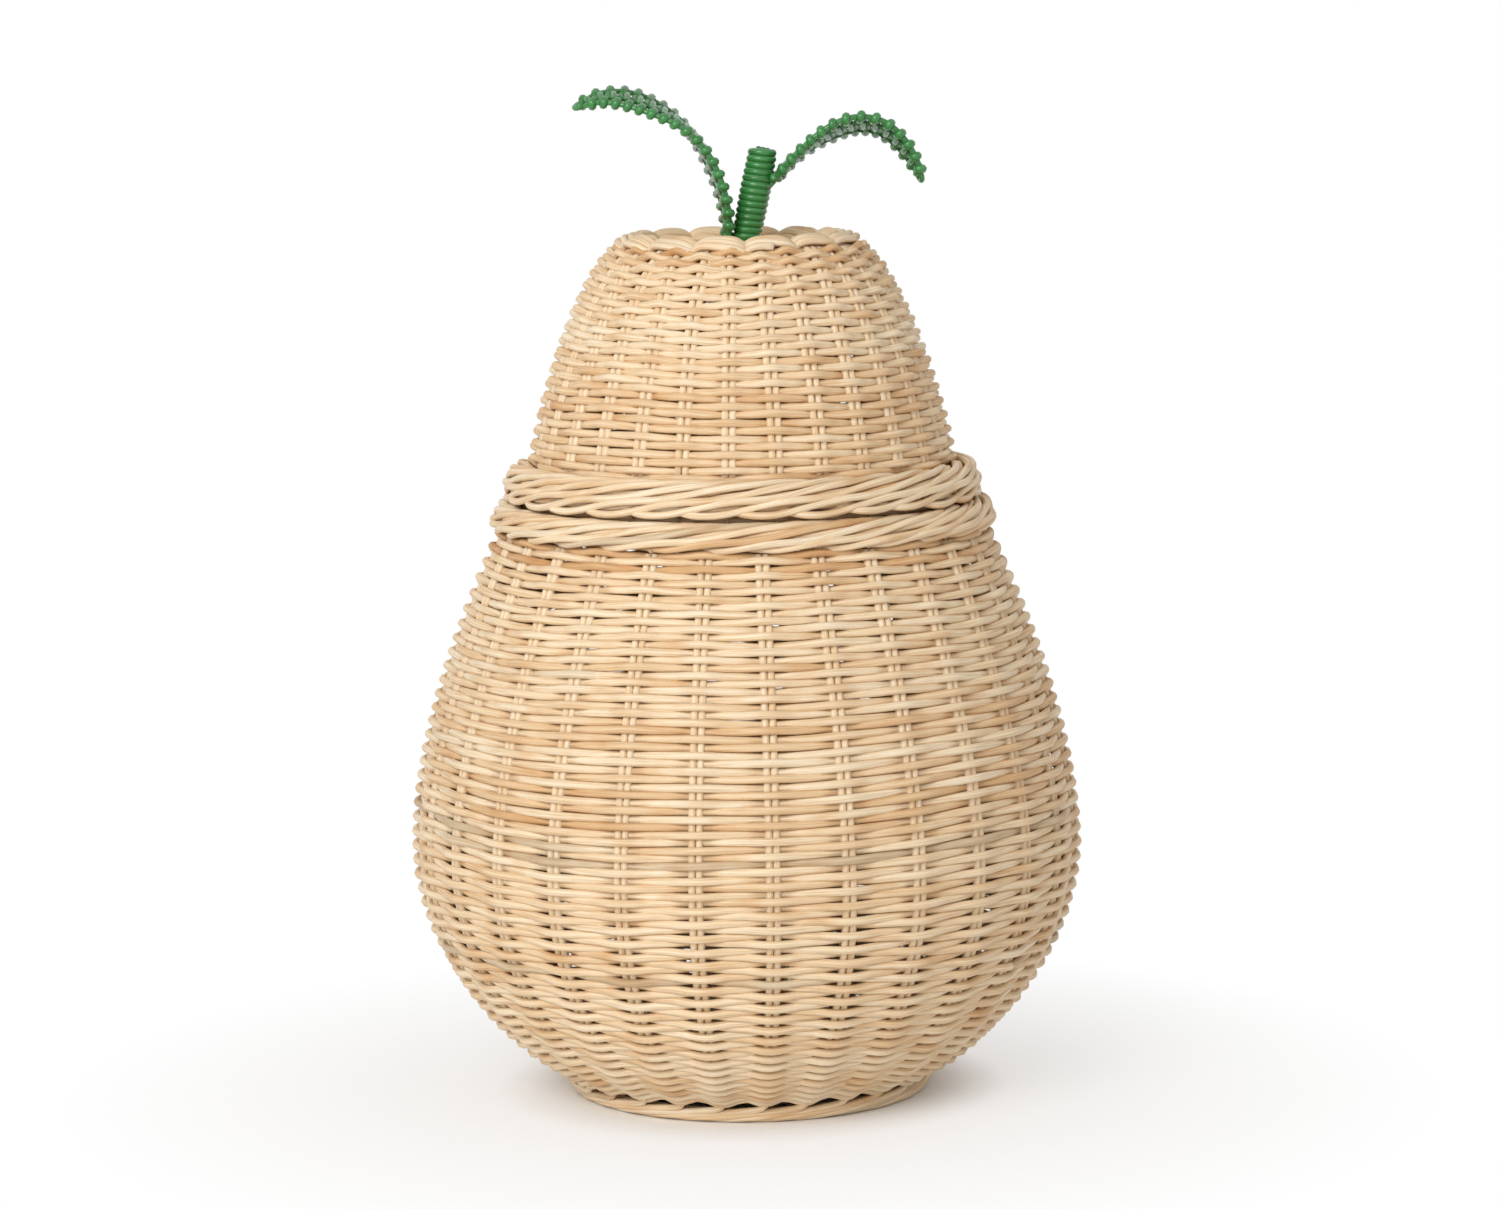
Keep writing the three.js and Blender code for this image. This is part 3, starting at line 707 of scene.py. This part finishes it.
def weaver(rng, outline, reach, begins, turn, packed):
    """The spiral of each weaver between two distances along an outline. The depth is that of the weave less
    the swing times in_and_out of the angle in stakes, and small random wanders keep it from being perfect.
    Near both ends the rows are beaten up to the rims. The first rows lie closer: they save packed mm in all,
    by packed (1 - exp(-climbed / PACKED_REACH))."""
    turns = (reach[1] - reach[0] + packed) / (2 * ROW_PITCH)
    points = int(turns * STAKES * STEPS_PER_STAKE)
    steps = np.arange(points) * STAKE_ANGLE / STEPS_PER_STAKE
    first = [begin * STAKE_ANGLE for begin in begins]
    last = [begin + steps[-1] for begin in first]
    knots = points // (STEPS_PER_STAKE * 2)
    climbed = 2 * ROW_PITCH * steps / (2 * np.pi)
    distance = reach[0] - packed + climbed + packed * np.exp(-climbed / PACKED_REACH)
    at_start = 1 - smoothstep(distance, reach[0] + BEATEN_FULLY, reach[0] + BEATEN)
    at_start = at_start * (1 - packed / PACKED_REACH)
    at_end = smoothstep(distance, reach[1] - BEATEN, reach[1] - BEATEN_FULLY)
    for front_of, start in enumerate(first):
        angle = start + steps
        uneven = 1 - UNEVEN_SWING / 2 + UNEVEN_SWING * wander(rng, points, knots)
        swing = in_and_out(angle / STAKE_ANGLE - front_of) * uneven
        moved = distance + sway(angle, distance, reach) + UNEVEN_ROW * wander(rng, points, knots)
        moved = moved + left_open(angle, last) * at_end
        moved = moved - left_open(-angle, [-mark for mark in first]) * at_start
        line, outward = on_outline(outline, moved, angle + turn, WEAVE_DEPTH - SWING * swing)
        yield line, outward, distance, 1 + WIDER_BEHIND * np.maximum(-swing, 0)


def behind_a_stake(distance, where):
    """The weaver's step nearest to a distance at which it is behind a stake."""
    period = 2 * STEPS_PER_STAKE
    return round(int(np.searchsorted(distance, where)) / period) * period + STEPS_PER_STAKE


def weave(names, outline, reach, splits, turn, seed, body, nodes, begins=(12, 27), packed=0, tan=0.0):
    """Two weavers that begin at two stakes, cut into pieces at the splits. tan is added to their shades."""
    rng = np.random.default_rng(seed)
    strands = []
    for line, outward, distance, swelling in weaver(rng, outline, reach, begins, turn, packed):
        width = WEAVER * swelling * (1 + 0.05 * wander(rng, len(line), len(line) // 150))
        tone = np.clip(shades_along(rng, travelled(line)) + tan, 0, 1)
        strands.append((line, outward, distance, tone, width))
    steps = len(line) - 1
    ends = [(begin + steps / STEPS_PER_STAKE) % STAKES for begin in begins]
    print("rows:", 2 * steps // (STAKES * STEPS_PER_STAKE), "ends at stakes", ends)
    for name, low, high, node in zip(names, splits[:-1], splits[1:], nodes):
        cut_tubes = []
        for line, outward, distance, tone, width in strands:
            first = behind_a_stake(distance, low) if low > 0 else 0
            last = behind_a_stake(distance, high) + 1 if high < outline["end"] else None
            cut = slice(first, last)
            cut_tubes.append(tubes(line[None, cut], outward[None, cut], width[None, cut], tone[None, cut]))
        stands_for(piece_of(name, cut_tubes, rattan), body, "rattan_weavers", node)


# %% Weave of the wall
WALL_REACH = (1.8, wall_line["end"] - 0.5)
weave(
    ["body_weave_turn", "body_weave_lower", "body_weave_upper"], wall_line, WALL_REACH,
    [0, 31, 135, math.inf], BODY_TURN, 21, "basket", ["body_upsett", "body_weave", "body_weave"],
    begins=(8, 23), packed=5.8,
)

# %% Weave of the lid
LID_REACH = (51.5, lid_line["end"] - 0.5)
weave(
    ["lid_weave_rows"], lid_line, LID_REACH, [0, math.inf], LID_TURN, 22, "lid", ["lid_weave"],
    begins=(20, 35), tan=0.12,
)

# %% [markdown]
# ## The middle of the crown and of the base
#
# Three rounds bind the cross, and then pairs of spokes are taken together: two canes twist round each other
# and pass in front of every second gap, which draws the scallops at the top of the lid. They are spirals too,
# but each stroke slants along the outline. Real canes cross each other between the spokes, and these only
# step back there, which hardly shows.

# %% Rounds that bind the cross
BINDING_ROUNDS = 3
FIRST_BINDING = 23.4
BINDING_STEP = 2.9
MIDDLE_SWING = 2.9
TWINED_STEPS = 14
TWINED_START = 34.2
TWINED_PITCH = 3.2
TWINED_RISE = 0.9
TWINED_CANE = 3.0


def binding_rounds(outline, hollow, turn):
    """Rounded squares r = h / (|cos|^4 + |sin|^4)^(1/4) at the height of the spokes. The depth swings with
    cos 2a, over one set of pairs and under the other, and turns over from round to round."""
    angle = np.linspace(0, 2 * np.pi, 181)
    number = np.arange(BINDING_ROUNDS)[:, None]
    radius = (FIRST_BINDING + BINDING_STEP * number) / (np.cos(angle) ** 4 + np.sin(angle) ** 4) ** 0.25
    turned = np.where(number % 2 == 0, 1, -1)
    depth = STAKE_DEPTH + 0.3 - MIDDLE_SWING * turned * np.tanh(2.5 * np.cos(2 * angle))
    lines = around(radius, angle + turn, outline["line"][0, 1] + hollow * depth)
    return lines, np.broadcast_to((0, 0, -hollow), lines.shape)


# %% Rounds of two canes that twist
def twined_rounds(rng, outline, turn, rounds):
    """Two spirals half a swing apart. count is the angle in groups of two spokes, and the depth swings with
    cos(pi count). Along the outline each stroke slants by a sine, from -TWINED_RISE to TWINED_RISE."""
    points = int(rounds * STAKES // 2 * TWINED_STEPS)
    angle = 1.5 * STAKE_ANGLE + np.arange(points) * 2 * np.pi * rounds / (points - 1)
    count = (angle / STAKE_ANGLE - 1.5) / 2 + np.arange(2)[:, None]
    swing = np.tanh(1.7 * np.cos(np.pi * count)) / np.tanh(1.7)
    bend = np.sin(np.pi * count) * np.sign(np.cos(np.pi * np.floor(count + 0.5)))
    climbed = TWINED_PITCH * (angle - angle[0]) / (2 * np.pi)
    distance = TWINED_START + climbed + TWINED_RISE * bend + 0.15 * wander(rng, points, 60)
    return on_outline(outline, distance, angle + turn, STAKE_DEPTH - MIDDLE_SWING * swing)


def middle(name, outline, hollow, turn, seed, body, node, rounds):
    """Both kinds of round as one piece."""
    rng = np.random.default_rng(seed)
    binding = tubes(*binding_rounds(outline, hollow, turn), CANE, shades(rng, BINDING_ROUNDS)[:, None])
    line, outward = twined_rounds(rng, outline, turn, rounds)
    tone = np.clip(np.stack([shades_along(rng, travel) for travel in travelled(line)]) + 0.08, 0, 1)
    twined = tubes(line, outward, TWINED_CANE, tone)
    stands_for(piece_of(name, [binding, twined], rattan), body, "rattan_weavers", node)


middle("crown_rounds", lid_line, -1, LID_TURN, 31, "lid", "crown_weave", 5.0)
middle("base_rounds", base_line, 1, BODY_TURN, 32, "basket", "base_weave", 4.0)
BASE_REACH = (48.5, base_line["end"] - 1.6)
weave(["base_weave_rows"], base_line, BASE_REACH, [0, math.inf], BODY_TURN, 33, "basket", ["base_weave"])

# %% [markdown]
# ## The plaited borders
#
# At a rim the two canes of each stake pair are bent over and laid round the edge. One climbs slowly across
# the outer face, past about four stakes, and goes over the top and down the inside. The other keeps a layer
# behind it. Both are drawn as a row of places, and turned by a stake each for the other 27. A wave
# that is opposite for neighbours opens the dark wedges, and a little random lift keeps them from being alike.

# %% A smooth line through given places
def smooth_line(places, count):
    """A Catmull-Rom curve: on each stretch 0.5 (2b + (c-a)t + (2a-5b+4c-d)t^2 + (3b-a-3c+d)t^3)."""
    places = np.array(places, float)
    ends = np.vstack([2 * places[0] - places[1], places, 2 * places[-1] - places[-2]])
    x = np.linspace(0, len(places) - 1, count)
    step = np.minimum(x.astype(int), len(places) - 2)
    t = (x - step)[:, None]
    a, b, c, d = (ends[step + i] for i in range(4))
    return 0.5 * (2 * b + (c - a) * t + (2 * a - 5 * b + 4 * c - d) * t**2 + (3 * b - a - 3 * c + d) * t**3)


BORDER_PLACES = 56


def border(name, strands, radius, height, turn, seed, body, node, lift, wave=0.0, width=CANE):
    """Each place of a strand is (stakes along, mm outwards, mm upwards) from the middle of the border's
    section. The lift is how far, in mm, a cane rises or sinks at random in the middle of its way, and the
    wave how far it does so by cos(pi along), and by sin(pi along) outwards."""
    rng = np.random.default_rng(seed)
    stake = np.arange(STAKES)[:, None]
    mid_way = np.sin(np.linspace(0, np.pi, BORDER_PLACES))
    lines = []
    outward = []
    for places in strands:
        along, out, up = smooth_line(places, BORDER_PLACES).T
        raised = lift * rng.normal(size=(STAKES, 1)) * mid_way
        raised = raised + wave * np.cos(np.pi * along) * mid_way
        angle = (stake + along + 0.16 * lift * rng.normal(size=(STAKES, 1))) * STAKE_ANGLE + turn
        reach = radius + out + 0.4 * raised + 0.8 * wave * np.sin(np.pi * along) * mid_way
        lines.append(around(reach, angle, height + up + raised))
        outward.append(unit(around(out, angle, up)))
    lines = np.concatenate(lines)
    tone = 0.9 * shades(rng, len(lines))[:, None]
    laid = tubes(lines, np.concatenate(outward), width, tone)
    stands_for(piece_of(name, [laid], rattan), body, "rattan_weavers", node)


# %% Border of the body's rim
body_first = [
    (-0.02, 1.0, -5.6), (0.05, 0.9, -4.8), (0.3, 0.2, -4.2), (0.7, -0.6, -4.2), (0.95, 0.8, -4.3),
    (1.15, 3.2, -4.4), (1.4, 4.9, -4.4), (1.8, 5.7, -3.6), (2.3, 5.7, -2.3), (2.8, 5.5, -1.0),
    (3.3, 5.1, 0.4), (3.8, 4.3, 1.8), (4.2, 3.2, 2.9), (4.6, 1.6, 3.7), (5.0, -0.3, 4.0), (5.4, -2.2, 3.4),
    (5.75, -3.6, 1.9), (6.1, -4.2, -0.4), (6.4, -3.6, -2.8),
]
body_second = [
    (0.13, 1.0, -5.6), (0.14, 0.3, -3.9), (0.3, -0.9, -2.6), (0.6, -1.0, -2.0), (0.95, 0.6, -1.9),
    (1.3, 2.2, -1.5), (1.7, 2.8, -0.7), (2.1, 2.9, 0.3), (2.6, 2.4, 1.6), (3.0, 1.5, 2.7), (3.3, 0.4, 3.5),
    (3.6, -0.7, 3.7), (3.95, -2.0, 3.0), (4.3, -2.4, 1.2), (4.7, -2.2, -0.8), (5.0, -1.6, -2.4),
]
border(
    "body_border_canes", [body_first, body_second], 90.5, 225.1, BODY_TURN, 41, "basket", "body_border",
    lift=0.3, wave=0.5,
)

# %% Border of the lid's rim
lid_first = [
    (-2.3, -4.4, 4.6), (-1.8, -4.6, 2.0), (-1.25, -4.5, -1.0), (-0.8, -3.4, -3.2), (-0.35, -0.6, -3.9),
    (-0.05, 1.8, -4.2), (0.15, 3.6, -5.0), (0.4, 5.1, -5.6), (0.7, 5.7, -5.3), (1.0, 5.8, -4.4),
    (1.4, 5.8, -3.0), (1.8, 5.8, -1.9), (2.2, 5.7, -0.8), (2.6, 5.5, 0.3), (3.0, 5.2, 1.4), (3.4, 4.7, 2.5),
    (3.8, 4.0, 3.6), (4.2, 3.0, 4.7), (4.6, 1.6, 5.6), (5.0, -0.2, 6.1), (5.4, -2.2, 5.8), (5.75, -3.8, 4.9),
]
lid_second = [
    (-2.1, -4.3, 5.0), (-1.5, -4.6, 2.6), (-1.05, -4.2, 0.2), (-0.65, -3.0, -1.2), (-0.3, -0.8, -1.9),
    (-0.05, 0.8, -1.9), (0.15, 1.8, -2.4), (0.4, 2.6, -3.2), (0.8, 3.0, -2.6), (1.3, 3.0, -1.2),
    (1.8, 3.0, 0.3), (2.3, 2.6, 1.8), (2.8, 1.7, 3.2), (3.2, 0.4, 4.4), (3.6, -1.3, 5.0), (3.9, -2.8, 4.7),
]
border(
    "lid_border_canes", [lid_first, lid_second], 85, 238.1, LID_TURN, 42, "lid", "lid_border",
    lift=0.35, wave=0.6,
)

# %% Border of the foot
foot_first = [
    (0.1, 9.4, 9.5), (0.05, 6.6, 6.6), (-0.1, 4.6, 3.4), (-0.6, 3.5, 2.1), (-1.4, 3.2, 1.0),
    (-2.2, 2.9, -0.2), (-3.0, 1.6, -0.9), (-3.8, -0.6, -1.0), (-4.6, -2.6, -0.5), (-5.2, -3.1, 0.6),
    (-5.9, -2.2, 1.4), (-6.6, 0.2, 1.6),
]
border(
    "foot_border_canes", [foot_first], 66, 2.45, BODY_TURN, 43, "basket", "foot_border",
    lift=0.05, width=2.6,
)

# %% [markdown]
# ## The collar under the lid
#
# A hoop holds the lid in the mouth. It is one cane coiled to five level turns and tied with thin bindings,
# because a flat hoop would look cut from sheet. The bindings are small loops round the coil's section.

# %% Coil and bindings
COLLAR_RADIUS = 81
COLLAR_BOTTOM = 222.2
COIL_PITCH = 2.62
COIL_LEVELS = 5
COIL_STEPS = 112
CLIMB = (0.957, 0.988)
COIL_MIDDLE = COLLAR_BOTTOM + COIL_PITCH * (COIL_LEVELS - 1) / 2
TIE_CANE = 0.7
TIE_DEPTH = 1.62
TIE_REACH = COIL_PITCH * COIL_LEVELS / 2 + 0.35
TIE_SLANT = 0.04
TIE_PLACES = 19


def collar_piece():
    """Level turns at a fixed radius, each of which climbs one pitch between two ties, over the CLIMB share of
    its way round, and loops on a rounded box round their section."""
    rng = np.random.default_rng(51)
    turns = np.linspace(CLIMB[1] - 1, COIL_LEVELS - 1 + CLIMB[0], COIL_LEVELS * COIL_STEPS)
    height = COLLAR_BOTTOM + COIL_PITCH * (np.floor(turns) + smoothstep(turns % 1, *CLIMB))
    angle = 2 * np.pi * turns
    coil = around(COLLAR_RADIUS, angle, height)[None]
    wound = tubes(coil, around(1, angle, 0)[None], COIL_PITCH, 0.5)
    share = np.linspace(0, 2 * np.pi, TIE_PLACES)
    slanted = np.arange(STAKES)[:, None] + TIE_SLANT * np.linspace(-1, 1, TIE_PLACES)
    at = slanted * STAKE_ANGLE + LID_TURN
    bulge = (np.cos(share) ** 6 + np.sin(share) ** 6) ** (-1 / 6)
    reach = COLLAR_RADIUS + TIE_DEPTH * bulge * np.cos(share)
    loops = around(reach, at, COIL_MIDDLE + TIE_REACH * bulge * np.sin(share))
    looking = around(np.cos(share), at, np.sin(share))
    tied = tubes(loops, looking, TIE_CANE, shades(rng, STAKES)[:, None], 6)
    return piece_of("lid_collar_coil", [wound, tied], rattan)


stands_for(collar_piece(), "lid", "rattan_weavers", "lid_collar")

# %% [markdown]
# ## The stem
#
# A bundle of sticks leans out of the crown, and a green cane is wound round it from the crown to the tip.
# The turns press on each other, so the winding is one spiral whose pitch is a little less than its cane.

# %% Sticks and winding
LEAN = math.radians(11.6)
STEM_FOOT = np.array([2.6, 0.0, 329.25])
STEM_HEIGHT = 36
WINDING_START = -3.2
WINDING_RISE = STEM_HEIGHT + 1.9
WINDING_TURNS = 15.2
WINDING_PLACES = int(WINDING_TURNS * 24)
WINDING_CANE = 3.0
STICK_START = -9


def leaned(points):
    """Stem places turned to the right about the y axis by the lean, then moved to the stem's foot."""
    x, y, z = np.moveaxis(np.asarray(points, float), -1, 0)
    cos, sin = math.cos(LEAN), math.sin(LEAN)
    return np.stack([x * cos + z * sin, y, z * cos - x * sin], axis=-1) + STEM_FOOT


def winding():
    """r = 3.75 + 0.45 s + 0.6 sin(pi s) mm for a share s of the way up, and 2.5 mm of height a turn."""
    angle = np.linspace(0, 2 * np.pi * WINDING_TURNS, WINDING_PLACES)
    share = angle / angle[-1]
    radius = 3.75 + 0.45 * share + 0.6 * np.sin(np.pi * share)
    places = around(radius, angle, WINDING_START + WINDING_RISE * share)
    return leaned(places)[None], (leaned(around(1, angle, 0)) - STEM_FOOT)[None]


stem_shade = 0.36 + 0.12 * wander(np.random.default_rng(61), WINDING_PLACES, 25)
wound_cane = piece_of("stem_winding_cane", [tubes(*winding(), WINDING_CANE, stem_shade)], green)
stands_for(wound_cane, "lid", "green_cane", "stem_winding")

stick_heights = np.linspace(STICK_START, STEM_HEIGHT, 20)
stick_angle = np.arange(7)[:, None] * 2 * np.pi / 6
stick_reach = np.array([1, 1, 1, 1, 1, 1, 0])[:, None] * (1.55 + 0.012 * stick_heights)
stick_places = (stick_reach * np.sin(stick_angle), stick_reach * np.cos(stick_angle), stick_heights)
stick_lines = np.stack(np.broadcast_arrays(*stick_places), axis=-1)
stick_width = 1.7 + 0.012 * stick_heights
stem_core = piece_of("stem_sticks", [tubes(leaned(stick_lines), (0, -1, 0.01), stick_width, 0.95)], green)
stands_for(stem_core, "lid", "green_cane", "stem_core")

# %% [markdown]
# ## The leaves
#
# A leaf is a loop of green cane with a rib down its middle. One cane crosses from side to side, over the rib
# on the way out and under it on the way back, and turns round the edge canes, so small knobs stand along both
# edges. The web could be a bumpy sheet, but then light wouldn't fall through it.

# %% A leaf's middle line and the directions on it
GREEN_CANE = 2.2
LEAF_RIB = 2.0
LEAF_CANE = 2.8
KNOB = 3.5
KNOB_REACH = 1.0
FOOT_RUN = 85
WEB_START = 0.01
WEB_RUN = 0.985
WEB_STEPS = 22


def leaf_frame(places, width, bank, share):
    """For shares of the middle line's length: the middle, the direction along, the one towards the near edge,
    the one off the leaf's face, and half the width, which grows and shrinks as sin(pi share^0.85)^0.7. bank
    is the lean towards the viewer at the foot and at the tip, and the shares between which it turns."""
    line = smooth_line(places, 400)
    travel = flat_length(line)
    x, z = (np.interp(share * travel[-1], travel, values) for values in line.T)
    dx, dz = (np.interp(share * travel[-1], travel, np.gradient(values, travel)) for values in line.T)
    zero = 0 * x
    centre = np.stack([x, zero, z], axis=-1)
    along = unit(np.stack([dx, zero, dz], axis=-1))
    up = np.stack([-dz, zero, dx], axis=-1) * (1 if places[-1][0] > 0 else -1)
    lean = (bank[0] + (bank[1] - bank[0]) * smoothstep(share, bank[2], bank[3]))[..., None]
    near = unit(np.array([0, -1, 0]) * np.cos(lean) - unit(up) * np.sin(lean))
    face = unit(np.cross(near, along))
    root = GREEN_CANE / 2 + 0.3
    reach = root + (width / 2 - root) * np.abs(np.sin(np.pi * np.clip(share, 0, 1) ** 0.85)) ** 0.7
    return centre, along, near, face, reach[..., None]


# %% Edge, rib and weaver of a leaf
def leaf_edge(rng, name, places, width, bank, foot, node):
    """The edge runs out on one side, round the tip on a half circle and back. Shares below 0 go straight on
    under the foot. Returns the shares of the middle line."""
    share = np.linspace(-0.05, 0.985, 90)
    centre, along, near, face, reach = leaf_frame(places, width, bank, share)
    centre = centre + along * np.minimum(share, 0)[:, None] * FOOT_RUN
    turn = np.linspace(0, np.pi, 9)[1:-1, None]
    tip = centre[-1] + along[-1] * reach[-1] * np.sin(turn) + near[-1] * reach[-1] * np.cos(turn)
    edge = np.concatenate([centre + near * reach, tip, (centre - near * reach)[::-1]]) + foot
    edge_face = np.concatenate([face, np.repeat(face[-1:], len(turn), axis=0), face[::-1]])
    shade = 0.55 + 0.15 * wander(rng, len(edge), 20)
    edge_tube = tubes(edge[None], edge_face[None], GREEN_CANE, shade)
    stands_for(piece_of(f"{name}_edge_cane", [edge_tube], green), "lid", "green_cane", node)
    return share


def leaf(name, places, width, bank, foot, seed, nodes, crossings):
    """The weaver is middle + near R cos(pi t) + face H sin(3 pi t), with t counting the crossings, and it
    swells to a knob where it turns round an edge, by cos(pi t)^4. Its tone drops towards the far edge,
    which turns the green greyer there."""
    rng = np.random.default_rng(seed)
    share = leaf_edge(rng, name, places, width, bank, foot, nodes[0])
    rib_share = share[(share > 0.1) & (share < 0.97)]
    rib_centre, _, _, rib_face, _ = leaf_frame(places, width, bank, rib_share)
    rib = tubes((rib_centre + foot)[None], rib_face[None], LEAF_RIB, 0.6)
    t = np.linspace(0, crossings, crossings * WEB_STEPS)
    centre, _, near, face, reach = leaf_frame(places, width, bank, WEB_START + WEB_RUN * t / crossings)
    across = (reach + KNOB_REACH) * np.cos(np.pi * t)[:, None]
    height = KNOB_REACH * np.sin(3 * np.pi * t)[:, None]
    height = height * (0.96 + 0.05 * wander(rng, len(t), crossings))[:, None]
    line = centre + near * across + face * height + foot
    facing = near * np.cos(np.pi * t)[:, None] + face * np.sin(3 * np.pi * t)[:, None]
    web_tone = 0.5 + 0.16 * wander(rng, len(t), crossings * 2)
    # The tone drops towards the far edge, the one away from the camera, and a lower tone is a greyer green.
    shift_amount = 0.3 + 0.14 * wander(rng, len(t), crossings // 2)
    web_tone = web_tone - shift_amount * smoothstep(-across[:, 0] / KNOB_REACH, 1, 8)
    thickness = LEAF_CANE + (KNOB - LEAF_CANE) * np.cos(np.pi * t) ** 4
    web = tubes(line[None], unit(facing)[None], thickness, np.clip(web_tone, 0, 1))
    stands_for(piece_of(f"{name}_web_cane", [rib, web], green), "lid", "green_cane", nodes[1])


# %% The left leaf and the right leaf
LEFT_LINE = [
    (0, 0), (-0.8, 12), (-4, 24), (-10, 36), (-18, 45), (-28, 51), (-38, 54.5), (-48, 55), (-56.5, 52),
]
RIGHT_LINE = [(0, 0), (8, 8.5), (17, 15.5), (26, 20), (34, 21.5), (42, 19.5), (49, 13.5), (54, 6), (56, 1)]
LEFT_FOOT = np.array([-4.2, 0, 329.25])
RIGHT_FOOT = np.array([13.65, 0, 351.8])
LEFT_BANK = (math.radians(-6), math.radians(14), 0.3, 0.85)
RIGHT_BANK = (math.radians(-4), math.radians(-12), 0.1, 0.5)
leaf("left_leaf", LEFT_LINE, 30, LEFT_BANK, LEFT_FOOT, 71, ("left_leaf_edge", "left_leaf_weave"), 36)
leaf("right_leaf", RIGHT_LINE, 28, RIGHT_BANK, RIGHT_FOOT, 72, ("right_leaf_edge", "right_leaf_weave"), 29)

# %% [markdown]
# ## Size and finish
#
# The dressed basket has to keep the size of the solids.

# %% Colour settings and the end
bpy.context.scene.view_settings.view_transform = "Standard"
